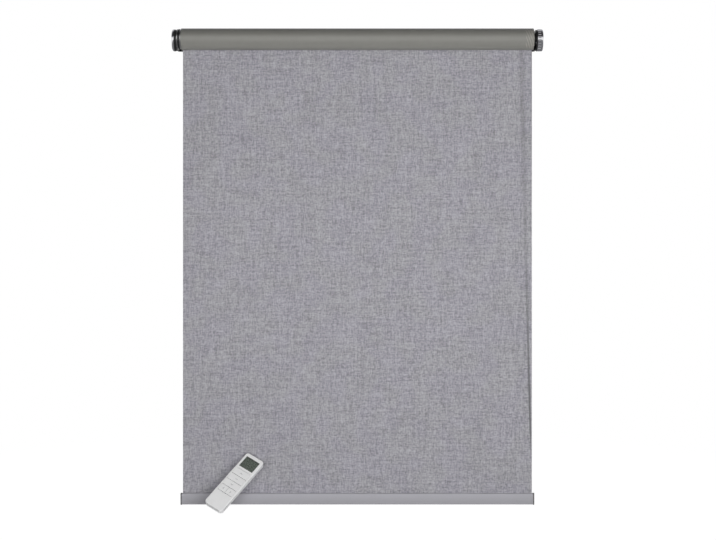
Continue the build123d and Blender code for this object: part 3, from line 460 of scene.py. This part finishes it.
weft = patches(SLUB_LENGTH, SLUB_WIDTH)
warp = patches(SLUB_WIDTH, SLUB_LENGTH, shift=7.3)
grain = patches(GRAIN_SIZE, GRAIN_SIZE, shift=3.1)
cast = patches(CAST_SIZE, CAST_SIZE, shift=11.0)
across_threads = patches(THREAD_LENGTH, 2 * THREAD_PITCH, shift=5.2)
down_threads = patches(2 * THREAD_PITCH, THREAD_LENGTH, shift=9.4)
slubs = (weft - 0.5) * WEFT_SHARE + (warp - 0.5) * WARP_SHARE
streaks = (across_threads - 0.5) * THREAD_SHARE + (down_threads - 0.5) * THREAD_SHARE
tone = slubs + (grain - 0.5) * GRAIN_SHARE + streaks
threads = (face.along(0) * (2 * math.pi / THREAD_PITCH)).sine()
picks = (face.along(2) * (2 * math.pi / THREAD_PITCH)).sine()
face.relief((threads * picks) * 0.25 + tone * 0.5 + 0.5, WEAVE_DEPTH)
face.set(Sheen_Weight=0.15, Sheen_Roughness=0.5, Specular_IOR_Level=0.2)
print("weave: slubs", round(SLUB_LENGTH / MM), "by", round(SLUB_WIDTH / MM, 1), "mm")

# %% [markdown]
# The cloth's colour is darkened just above the bar and just below the roll: painted shade from those parts. Its
# right-hand edge stands a little off flat, and the photograph shows that as a dim streak that comes closer to the
# edge further down, and ends a little above the bar; that streak is painted shade too. Near the roll a painted
# shadow runs as a dark line along the edge itself.

# %% Colours and painted shade of the cloth
GREYS = (paint(132, 131, 136), paint(182, 181, 186))
VIOLETS = (paint(131, 130, 137), paint(182, 180, 188))
PAINTED_SHADE_COLOUR = paint(96, 96, 98)
CAST_SPREAD = (0.4, 0.6)  # values of the large noise between which grey turns violet
ABOVE_BAR_SHADE_HEIGHT = 9 * MM  # height of the painted shade above the bar
ABOVE_BAR_SHADE = 0.04
UNDER_ROLL = (-24 * MM, -18 * MM)  # heights between which the painted shade below the roll grows
ROLL_SHADE = 0.36
STREAK_TOP = (24.0 * MM, 8.0 * MM)  # the painted shade streak at the roll: place from the edge, half width
STREAK_LOW = (0.0 * MM, 1.4 * MM)  # the same at the bar
STREAK_SIDES = (0.2, 1.1)  # shares of its half width between which it fades out
STREAK_GROWS = (0.4, 0.85)  # shares of the drop between which it grows stronger
STREAK_ENDS = (0.85, 0.93)  # shares of the drop between which it ends
STREAK_DIM = 0.24  # how dark the painted shade streak is near the roll
STREAK_GROWTH = 0.6  # how much dimmer it gets on its way down
EDGE_SHADOW = (0.6 * MM, 2.0 * MM)  # distances from the edge between which its painted shadow line ends
EDGE_SHADOW_ENDS = (0.1, 0.4)  # shares of the drop between which it ends
EDGE_SHADOW_DEPTH = 0.7

# Painted shade: the cloth's colour darkens just above the bar, where the bar would shade it.
shade_above_bar = 1 - (face.along(2) - BAR_TOP).within(0.0, ABOVE_BAR_SHADE_HEIGHT)
# Painted shade: the cloth's colour darkens just below the roll, where the roll would shade it.
shade_below_roll = face.along(2).within(*UNDER_ROLL)
shade = (tone + 0.5 - shade_above_bar * ABOVE_BAR_SHADE - shade_below_roll * ROLL_SHADE).larger(0.0).smaller(1.0)
cloth = face.blend(
    cast.within(*CAST_SPREAD), face.blend(shade, *GREYS), face.blend(shade, *VIOLETS)
)
# Painted shade: a darker streak along the right-hand edge stands for the shade of that edge standing off flat.
down = face.along(2) / sheet_low.z
from_edge = sheet_high.x - face.along(0)
streak_place = down * (STREAK_LOW[0] - STREAK_TOP[0]) + STREAK_TOP[0]
streak_half = down * (STREAK_LOW[1] - STREAK_TOP[1]) + STREAK_TOP[1]
off_streak = ((from_edge - streak_place) / streak_half).size()
dim = down.within(*STREAK_GROWS) * STREAK_GROWTH + STREAK_DIM
dim = (1 - off_streak.within(*STREAK_SIDES)) * dim * (1 - down.within(*STREAK_ENDS))
# Painted shadow: a dark line right along the edge, fading out on the way down from the roll.
edge_shadow = (1 - from_edge.within(*EDGE_SHADOW)) * (1 - down.within(*EDGE_SHADOW_ENDS))
face.set(Base_Color=face.blend(dim.larger(edge_shadow * EDGE_SHADOW_DEPTH), cloth, PAINTED_SHADE_COLOUR))
print("cloth face: two greys, a streak and dark edges")

# %% [markdown]
# The back of the cloth is coated. It is smooth, a warmer grey, and shows only the faintest
# trace of the threads under the coating. It is what the roll shows, because the cloth is wound
# with its back outwards.

# %% Back of the cloth
COAT_COLOURS = (paint(125, 125, 119), paint(135, 134, 129))
CREASE_COLOUR = paint(161, 156, 149)
CREASE_PITCH = 5.4 * MM
CREASE_SLANT = 0.38  # how far a crease moves along the roll for each step up
CREASED = 19 * MM  # stretch at the right-hand end of the roll with faint slanting creases
CREASE_STARTS = 2 * MM
CREASE_LOW = 6 * MM  # height above the roll's lowest line over which the creases end
CREASE_EDGES = (0.1, 1.0)  # values of the wave across the creases between which one rises
CREASE_SHARE = 0.8
CLOUD_SIZE = 14 * MM
TRACE_SIZE = (1.2 * MM, 0.8 * MM, 0.8 * MM)
COAT_DEPTH = 0.03 * MM

back = Finish("cloth_back", Roughness=0.38)
coat = back.noise((CLOUD_SIZE, CLOUD_SIZE, CLOUD_SIZE), detail=3.0)
fine = back.noise(TRACE_SIZE, shift=2.0)
slant = back.along(0) + back.along(2) * CREASE_SLANT
ridges = (slant * (2 * math.pi / CREASE_PITCH)).sine().within(*CREASE_EDGES)
creased = (back.along(0) - (roll_high.x - CREASED)).within(0.0, CREASE_STARTS)
creased = creased * (back.along(2) + ROLL_R).within(0.0, CREASE_LOW)
coated = back.blend(coat * 0.7 + fine * 0.3, *COAT_COLOURS)
back.set(Base_Color=back.blend(ridges * creased * CREASE_SHARE, coated, CREASE_COLOUR))
back.set(Specular_IOR_Level=1.0)
back.relief(fine * 0.4 + ridges * creased * 0.6, COAT_DEPTH)
print("cloth back: coated, with creases on its last", round(CREASED / MM), "mm")

# %% [markdown]
# ## Metals and plastics
#
# One function for each family of finish. Each has a fine relief and a roughness that changes
# a little over the surface, because a perfectly even surface looks like a drawing.

# %% Families of finish
def clouded(finish, colour, size, darkest, shift=4.0):
    """Gives a finish its colour, in clouds of that size that darken it down to a share."""
    cloud = finish.noise((size, size, size), shift=shift)
    darker = tuple(c * darkest for c in colour[:3]) + (1.0,)
    finish.set(Base_Color=finish.blend(cloud, darker, colour))
    return cloud


def uneven(finish, pattern, middle, spread):
    """A roughness that follows a pattern from middle - spread to middle + spread."""
    finish.set(Roughness=pattern * (2 * spread) + (middle - spread))


def moulded(name, colour, roughness=0.5, grain_depth=0.01 * MM):
    """Plastic with the fine spark-eroded grain of its mould."""
    made = Finish(name)
    spark_grain = made.noise((0.35 * MM,) * 3, roughness=0.6)
    clouded(made, colour, size=18 * MM, darkest=0.93)
    uneven(made, spark_grain, roughness, 0.06)
    return made.relief(spark_grain, grain_depth)


def plated(name, colour, roughness, streak=None):
    """Bare or plated metal. streak is the axis that its fine scratches follow, if any."""
    made = Finish(name, Metallic=1.0)
    cell = [0.5 * MM] * 3
    if streak is not None:
        cell[streak] = 25 * MM
    scratches = made.noise(cell, roughness=0.6)
    haze = clouded(made, colour, size=12 * MM, darkest=0.9, shift=5.0)
    uneven(made, scratches * 0.5 + haze * 0.5, roughness, roughness / 4)
    return made.relief(scratches, 0.003 * MM)


def powder_coat(name, colour, roughness):
    """Paint baked from powder, with its fine orange-peel."""
    made = Finish(name)
    peel = made.noise((0.9 * MM,) * 3, detail=1.0)
    clouded(made, colour, size=60 * MM, darkest=0.95)
    uneven(made, peel, roughness, 0.05)
    return made.relief(peel, 0.02 * MM)


print("plastic, metal and powder paint are ready")

# %% [markdown]
# Each slot of the imported model gets its finish from one table. The bar's colour is a little lighter at its top,
# as in the photograph: a painted highlight where its top catches more light. The pane over the display is clear.

# %% Finishes for the imported pieces
WINDOW_TINT = (0.25, 0.28, 0.25, 1)
BAR_LIT_COLOURS = (paint(161, 160, 165), paint(173, 172, 178))  # at the bottom and at the top; the lighter top is a painted highlight

finishes = {
    "chrome_shell": plated("chrome", (0.78, 0.78, 0.80, 1), 0.07),
    "black_steel": powder_coat("black_powder", (0.012, 0.012, 0.013, 1), 0.42),
    "black_plastic": moulded("black_moulded", (0.014, 0.014, 0.015, 1), 0.45),
    "bright_ring": plated("turned_aluminium", (0.52, 0.52, 0.52, 1), 0.28),
    "tube_metal": plated("tube_aluminium", (0.48, 0.48, 0.48, 1), 0.38, 0),
    "clear_strip": moulded("strip_plastic", (0.72, 0.72, 0.70, 1), 0.4),
    "bar_paint": powder_coat("bar_paint", paint(166, 165, 171), 0.38),
    "grey_plastic": moulded("cap_plastic", paint(112, 112, 114), 0.5),
    "bright_steel": plated("zinc_plate", (0.70, 0.70, 0.72, 1), 0.25),
    "spring_steel": plated("spring_wire", (0.45, 0.45, 0.47, 1), 0.22),
    "can_steel": plated("drawn_steel", (0.60, 0.60, 0.61, 1), 0.28, 0),
    "board_green": moulded("solder_mask", (0.02, 0.12, 0.05, 1), 0.35),
    "chip_black": moulded("switch_black", (0.02, 0.02, 0.02, 1), 0.5),
    "cell_wrap": moulded("cell_film", (0.03, 0.10, 0.33, 1), 0.25),
    "white_plastic": moulded("natural_plastic", (0.74, 0.73, 0.70, 1), 0.5),
    "motor_steel": plated("motor_case", (0.58, 0.58, 0.58, 1), 0.3, 0),
    "gear_steel": plated("gear_steel", (0.48, 0.48, 0.50, 1), 0.3),
    "gear_plastic": moulded("gear_plastic", (0.80, 0.77, 0.68, 1), 0.4),
    "bush_brass": plated("bush_bronze", (0.62, 0.45, 0.20, 1), 0.35),
    "flange_zinc": plated("cast_zinc", (0.50, 0.50, 0.52, 1), 0.45),
    "wheel_plastic": moulded("wheel_plastic", (0.45, 0.45, 0.44, 1), 0.5),
    "lens_clear": moulded("lens", (0.35, 0.60, 0.38, 1), 0.1),
    "button_grey": moulded("button_rubber", (0.16, 0.16, 0.17, 1), 0.6),
    "case_white": moulded("case_white", paint(247, 247, 247), 0.42, 0.006 * MM),
    "key_white": moulded("key_white", paint(246, 246, 246), 0.42, 0.006 * MM),
    "lcd_green": moulded("display", paint(74, 84, 72), 0.3),
    "cell_steel": plated("cell_steel", (0.66, 0.66, 0.66, 1), 0.2),
}
bar_finish = finishes["bar_paint"]
# Painted highlight: the bar's colour lightens towards its top.
bar_highlight = bar_finish.along(2).within(BAR_BOTTOM, BAR_TOP)
bar_finish.set(Base_Color=bar_finish.blend(bar_highlight, *BAR_LIT_COLOURS))
glass = Finish("window_glass", Roughness=0.04, Alpha=0.22)
glass.set(Base_Color=WINDOW_TINT, IOR=1.5)
finishes["window_clear"] = glass
finishes["fabric_face"] = face
finishes["fabric_reverse"] = back
for row in frame["record"]["subparts"]:
    cad_node = frame["nodes"][row["node"]]
    cad_node.data.materials.clear()
    cad_node.data.materials.append(finishes[row["material_slot"]].material)
print(len(finishes), "finishes set on", len(frame["nodes"]), "nodes")

# %% [markdown]
# ## The hanging sheet
#
# The sheet leaves the back of the roll and ends in the strip of the bottom bar. The bar keeps it
# taut, so it hangs flat, with broad swells of well under a millimetre. They only go towards the
# wall, and die out above the bar, so that the sheet clears the roll and the bar's channel
# when it is drawn up.

# %% Helpers for meshes
SAME_PLACE = 0.001 * MM  # corners closer than this are joined
SHARP = 40  # degrees between two faces beyond which their edge stays sharp


def smooth(value, low, high):
    """0 at low and below, 1 at high and above, smooth between."""
    share = min(max((value - low) / (high - low), 0.0), 1.0)
    return share * share * (3 - 2 * share)


def steps(low, high, count):
    return [low + (high - low) * k / count for k in range(count + 1)]


def grid_faces(columns, rows, first, turned_over):
    """Quads between neighbouring points of a grid whose points start at index first."""
    faces = []
    for row in range(rows - 1):
        for column in range(columns - 1):
            a = first + row * columns + column
            quad = (a, a + 1, a + columns + 1, a + columns)
            faces.append(tuple(reversed(quad)) if turned_over else quad)
    return faces


def smooth_faces(mesh, sharp=SHARP):
    """Makes a mesh look smooth, except at edges beyond an angle in degrees."""
    mesh.polygons.foreach_set("use_smooth", [True] * len(mesh.polygons))
    mesh.set_sharp_from_angle(angle=math.radians(sharp))


def new_piece(name, points, faces, materials, sharp=SHARP):
    """A mesh object made from points and faces."""
    mesh = bpy.data.meshes.new(name)
    mesh.from_pydata(points, [], faces)
    for material in materials:
        mesh.materials.append(material)
    smooth_faces(mesh, sharp)
    mesh.update()
    return link(bpy.data.objects.new(name, mesh))


print("mesh helpers are ready")

# %% [markdown]
# The sheet is two grids of points, its face and its back, joined by a rim all round, so that it is closed.

# %% Hanging sheet
SWELL = 0.4 * MM
SWELL_WIDTH = 310 * MM
SWELL_HEIGHT = 430 * MM
FLAT_TOP = (10 * MM, 120 * MM)  # distances below the axis between which the swells set in
FLAT_LOW = (70 * MM, 200 * MM)  # heights above the bar between which they die out
SHEET_COLUMNS = 60
SHEET_ROWS = 80


def towards_wall(x, z):
    """How far the sheet swells towards the wall at a place, in metres."""
    free = smooth(-z, *FLAT_TOP) * smooth(z - BAR_TOP, *FLAT_LOW)
    wave = math.sin(2 * math.pi * x / SWELL_WIDTH) * math.sin(2 * math.pi * z / SWELL_HEIGHT)
    return free * SWELL * (1 + wave) / 2


columns = steps(sheet_low.x, sheet_high.x, SHEET_COLUMNS)
rows = steps(0.0, sheet_low.z, SHEET_ROWS)
points = []
for y_at_rest in (sheet_low.y, sheet_high.y):
    points += [(x, y_at_rest + towards_wall(x, z), z) for z in rows for x in columns]
wide, high = len(columns), len(rows)
behind = wide * high
front_faces = grid_faces(wide, high, 0, True)
back_faces = grid_faces(wide, high, behind, False)
rim = [row * wide for row in range(high)]
rim += [(high - 1) * wide + column for column in range(1, wide)]
rim += [row * wide + wide - 1 for row in reversed(range(high - 1))]
rim += reversed(range(1, wide - 1))
rim_faces = [(a + behind, b + behind, b, a) for a, b in zip(rim, rim[1:] + rim[:1])]
sheet = new_piece(
    "hanging_sheet", points, front_faces + back_faces + rim_faces, [face.material, back.material]
)
for polygon in sheet.data.polygons:
    if polygon.index >= len(front_faces):
        polygon.material_index = 1
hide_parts("fabric_drop")
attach(sheet, "frame")
lift = next(joint for joint in frame["joints"] if joint["name"] == "bar_lift")
travel = max(lift["range_m"])
(SHEET_LENGTH - travel) / SHEET_LENGTH
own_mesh(sheet)
print("hanging sheet:", len(sheet.data.polygons), "faces")

# %% [markdown]
# ## The wound cloth
#
# What stays on the tube is the same sheet, wound in a spiral with its coated back outwards.
# That shape follows a rule, so Geometry Nodes make it: a flat grid is bent round the roll's axis,
# and each turn lies one pitch further in. Extruded by the cloth's thickness it becomes a closed
# sheet whose turns show at the ends of the roll.

# %% Winding rule
POINTS_ALONG = 3
POINTS_ROUND = 481  # over all the turns, so that each looks round


def winding_rule():
    """A node group that winds a grid into a spiral sheet round an axis along X."""
    group = bpy.data.node_groups.new("wind_a_sheet", "GeometryNodeTree")
    inputs = ("Left", "Right", "Axis Y", "Outer Radius", "Turns", "Pitch", "Thickness")
    for name in inputs:
        group.interface.new_socket(name, in_out="INPUT", socket_type="NodeSocketFloat")
    group.interface.new_socket("Finish", in_out="INPUT", socket_type="NodeSocketMaterial")
    group.interface.new_socket("Geometry", in_out="OUTPUT", socket_type="NodeSocketGeometry")
    rule = Graph(group)
    asked = rule.node("NodeGroupInput").outputs
    left, right, axis_y, outer_radius, turns, pitch, thickness = (
        Number(rule, asked[name]) for name in inputs
    )
    grid = rule.node(
        "GeometryNodeMeshGrid",
        inputs={
            "Size X": 1.0,
            "Size Y": 1.0,
            "Vertices X": POINTS_ALONG,
            "Vertices Y": POINTS_ROUND,
        },
    )
    position = rule.node("GeometryNodeInputPosition").outputs[0]
    place = rule.node("ShaderNodeSeparateXYZ", inputs={0: position})
    across = Number(rule, place.outputs[0]) + 0.5
    turn = (Number(rule, place.outputs[1]) + 0.5) * turns
    angle = turn * (2 * math.pi)
    radius = outer_radius - turn * pitch
    bent = rule.node(
        "ShaderNodeCombineXYZ",
        inputs={
            0: left + across * (right - left),
            1: axis_y + radius * angle.cosine(),
            2: radius * angle.sine(),
        },
    )
    outside = rule.node(
        "GeometryNodeSetPosition",
        inputs={"Geometry": grid.outputs["Mesh"], "Position": bent.outputs[0]},
    )
    inside = rule.node(
        "GeometryNodeExtrudeMesh",
        {"mode": "FACES"},
        {"Mesh": outside.outputs[0], "Offset Scale": 0 - thickness, "Individual": False},
    )
    both = rule.node("GeometryNodeJoinGeometry")
    turned_over = rule.node("GeometryNodeFlipFaces", inputs={"Mesh": inside.outputs[0]})
    rule.feed(both.inputs[0], turned_over.outputs[0])
    rule.feed(both.inputs[0], outside.outputs[0])
    closed = rule.node(
        "GeometryNodeMergeByDistance",
        inputs={"Geometry": both.outputs[0], "Distance": SAME_PLACE},
    )
    real = rule.node("GeometryNodeRealizeInstances", inputs={0: closed.outputs[0]})
    dressed = rule.node(
        "GeometryNodeSetMaterial", inputs={"Geometry": real.outputs[0], "Material": asked["Finish"]}
    )
    rule.node("NodeGroupOutput", inputs={0: dressed.outputs[0]})
    return group


def made_by_rule(name, group, values):
    """A plain mesh object made by a node group with those input values."""
    seed = link(bpy.data.objects.new(name, bpy.data.meshes.new(name)))
    modifier = seed.modifiers.new("rule", "NODES")
    modifier.node_group = group
    for item in group.interface.items_tree:
        if item.in_out == "INPUT":
            modifier[item.identifier] = values[item.name]
    seen = seed.evaluated_get(bpy.context.evaluated_depsgraph_get())
    mesh = bpy.data.meshes.new_from_object(seen)
    seed.modifiers.clear()
    seed.data = mesh
    mesh.materials.clear()
    mesh.materials.append(values["Finish"])
    mesh.polygons.foreach_set("material_index", [0] * len(mesh.polygons))
    smooth_faces(mesh)
    return seed


print("the winding rule is ready")

# %% [markdown]
# Four turns stay on the tube when the blind is fully down. A little air is left between them,
# so that the turns do not cut one another.

# %% Wound cloth
TURNS = 4
CLEAR = 0.06 * MM  # air between two turns

wound = made_by_rule(
    "wound_cloth",
    winding_rule(),
    {
        "Left": roll_low.x,
        "Right": roll_high.x,
        "Axis Y": ROLL_Y,
        "Outer Radius": ROLL_R,
        "Turns": float(TURNS),
        "Pitch": SHEET_T + CLEAR,
        "Thickness": SHEET_T,
        "Finish": back.material,
    },
)
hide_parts("fabric_roll")
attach(wound, "roll")

# %% [markdown]
# ## The spring behind the idle pin
#
# The pin goes in when the blind is taken down, and its spring shortens. A rigid imported piece can't, so a copy of
# it takes its place, and the share of its length that it keeps with the pin fully in is worked out.

# %% Pin spring
SPRING_SHARP = 60  # degrees, so that the few sides of its wire look round

slide = next(joint for joint in frame["joints"] if joint["name"] == "pin_slide")
spring_low, spring_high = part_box("pin_spring")
spring_mesh = frame["nodes"]["pin_spring"].data.copy()
joined = bmesh.new()
joined.from_mesh(spring_mesh)
bmesh.ops.remove_doubles(joined, verts=joined.verts, dist=SAME_PLACE)
joined.to_mesh(spring_mesh)
joined.free()
smooth_faces(spring_mesh, SPRING_SHARP)
spring = link(bpy.data.objects.new("coil_spring", spring_mesh))
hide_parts("pin_spring")
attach(spring, "roll")
spring_length = spring_high.x - spring_low.x
left_over = (spring_length - max(slide["range_m"])) / spring_length
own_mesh(spring)
print("the spring keeps", round(left_over, 3), "of its length")

# %% [markdown]
# ## Signs on the keys
#
# Each key carries one small printed sign: arrows on four of them and a dash on the one that
# stops the blind. A print has next to no thickness, so each is a thin plate that lies just
# proud of its key, and goes in with it. The keys' own faces say which way is up and across.

# %% Outer faces of the keys
OUTWARDS = Vector((0, -1, 0))
LEAST_FACING = 0.5  # cosine between the way out and a face that still counts
FACE_DEPTH = 0.1 * MM  # how far behind the foremost part of a face the rest of it may lie


def outer_face(node):
    """The centre of a piece's outer face and its normal, from its mesh."""
    mesh = frame["nodes"][node].data
    by_normal = {}
    for polygon in mesh.polygons:
        rounded = tuple(round(v, 2) for v in polygon.normal)
        if Vector(rounded).dot(OUTWARDS) > LEAST_FACING:
            by_normal.setdefault(rounded, []).append(polygon)
    faces = max(by_normal.values(), key=lambda group: sum(p.area for p in group))
    foremost = max(p.center.dot(faces[0].normal) for p in faces)
    faces = [p for p in faces if p.center.dot(p.normal) > foremost - FACE_DEPTH]
    corners = [mesh.vertices[v].co for p in faces for v in p.vertices]
    low = [min(c[i] for c in corners) for i in range(3)]
    high = [max(c[i] for c in corners) for i in range(3)]
    return Vector([(a + b) / 2 for a, b in zip(low, high)]), faces[0].normal.copy()


keys = ("key_up", "key_stop", "key_down", "key_left", "key_right")
centres = {node: outer_face(node) for node in keys}
across = (centres["key_right"][0] - centres["key_left"][0]).normalized()
upward = (centres["key_up"][0] - centres["key_down"][0]).normalized()
print("the keys face", [round(v, 3) for v in centres["key_stop"][1]])

# %% [markdown]
# A sign is drawn as one line of strokes on its key's face, in millimetres from its centre.
# Every stroke becomes a small block with the line's width and the print's thickness.

# %% Signs
PRINT_T = 0.05 * MM
PRINT_GAP = 0.01 * MM  # air between a key's face and the back of its sign
STROKE = 0.85 * MM
SIGN_SHARP = 20  # degrees, so that a block keeps its corners


def plate(name, line, centre, right, up, normal, material):
    """Strokes along a line of (across, up) points in mm, as one thin plate on a face."""
    points, faces = [], []
    for start, end in zip(line, line[1:]):
        start, end = Vector(start), Vector(end)
        tip = (end - start).normalized() * (STROKE / MM / 2)
        side = Vector((-tip.y, tip.x))
        corners = (start - tip - side, end + tip - side, end + tip + side, start - tip + side)
        first = len(points)
        for depth in (PRINT_GAP, PRINT_T):
            for corner in corners:
                point = centre + right * corner.x * MM + up * corner.y * MM + normal * depth
                points.append(tuple(point))
        faces.append(tuple(first + k for k in (3, 2, 1, 0)))
        faces.append(tuple(first + k for k in (4, 5, 6, 7)))
        for k in range(4):
            m = (k + 1) % 4
            faces.append((first + k, first + m, first + m + 4, first + k + 4))
    return new_piece(name, points, faces, [material], sharp=SIGN_SHARP)


ink = moulded("key_ink", paint(172, 172, 172), 0.5)
signs = {
    "key_up": [(-2.6, -1.2), (0, 1.2), (2.6, -1.2)],
    "key_stop": [(-2.4, 0), (2.4, 0)],
    "key_down": [(-2.6, 1.2), (0, -1.2), (2.6, 1.2)],
    "key_left": [(1.1, 2.4), (-1.1, 0), (1.1, -2.4)],
    "key_right": [(-1.1, 2.4), (1.1, 0), (-1.1, -2.4)],
}
for node, line in signs.items():
    centre, normal = centres[node]
    sign = plate("sign_" + node, line, centre, across, upward, normal, ink.material)
    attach(sign, node.replace("key_", "") + "_key")
print(len(signs), "signs on the keys")

# %% [markdown]
# Two things on the hand control are dark because little light gets in: the slots round the
# keys, and the edge of the display, which lies under its pane. Both are measured off the
# control's own directions, so the finishes find their place although the control leans.
# A slot is dark on the side of the key and on the wall of the case's opening.

# %% Dark slots and display edge
KEY_EDGE = 0.25 * MM  # depth below a face from which the sides of a slot are dark
OPENING_GAP = 0.4 * MM  # how far the dark wall may lie above and below the keys
OPENING_SIDE = 2.0 * MM  # how far it ends short of the keys' outer sides, where it stays light
OPENING_DEPTH = 2.5 * MM
SLOT_DARK = paint(60, 60, 60)
SHADED_TOP = 3.8 * MM  # width of the display's dark edge along its top
SHADED_LEFT = 2.6 * MM
SHADED_REST = 1.2 * MM
DISPLAY_DARK = paint(14, 16, 15)


def distance(finish, direction, start):
    """How far a place lies from a start point along a direction, in metres."""
    parts = [finish.along(axis) * direction[axis] for axis in range(3)]
    return parts[0] + parts[1] + parts[2] - start.dot(direction)


def darker_where(finish, share, dark):
    """Blends the finish's own colour to a dark one by that share."""
    own = finish.surface.inputs["Base Color"].links[0].from_socket
    finish.set(Base_Color=finish.blend(share, own, dark))


key_centre, key_normal = centres["key_stop"]
key_finish = finishes["key_white"]
below = distance(key_finish, -key_normal, key_centre)
darker_where(key_finish, below.within(KEY_EDGE / 2, KEY_EDGE), SLOT_DARK)
case = finishes["case_white"]
below = distance(case, -key_normal, outer_face("remote_front")[0])
shaded = below.within(KEY_EDGE / 2, KEY_EDGE)
shaded = shaded * (1 - below.within(OPENING_DEPTH, OPENING_DEPTH + MM))
key_corners = [v.co for node in keys for v in frame["nodes"][node].data.vertices]
for direction, more in ((across, -OPENING_SIDE), (upward, OPENING_GAP)):
    places = [corner.dot(direction) for corner in key_corners]
    half = (max(places) - min(places)) / 2 + more
    off = distance(case, direction, direction * ((max(places) + min(places)) / 2)).size()
    shaded = shaded * (1 - off.within(half, half + OPENING_GAP))
darker_where(case, shaded, SLOT_DARK)
display_corners = [v.co for v in frame["nodes"]["lcd_panel"].data.vertices]
top_left = min(display_corners, key=lambda p: p.dot(across) - p.dot(upward))
low_right = max(display_corners, key=lambda p: p.dot(across) - p.dot(upward))
display = finishes["lcd_green"]
sides = [
    1 - distance(display, inwards, corner).within(width - MM, width)
    for corner, inwards, width in (
        (top_left, across, SHADED_LEFT),
        (top_left, -upward, SHADED_TOP),
        (low_right, -across, SHADED_REST),
        (low_right, upward, SHADED_REST),
    )
]
shaded = sides[0].larger(sides[1]).larger(sides[2]).larger(sides[3])
darker_where(display, shaded, DISPLAY_DARK)
print("slots and display edge are dark")
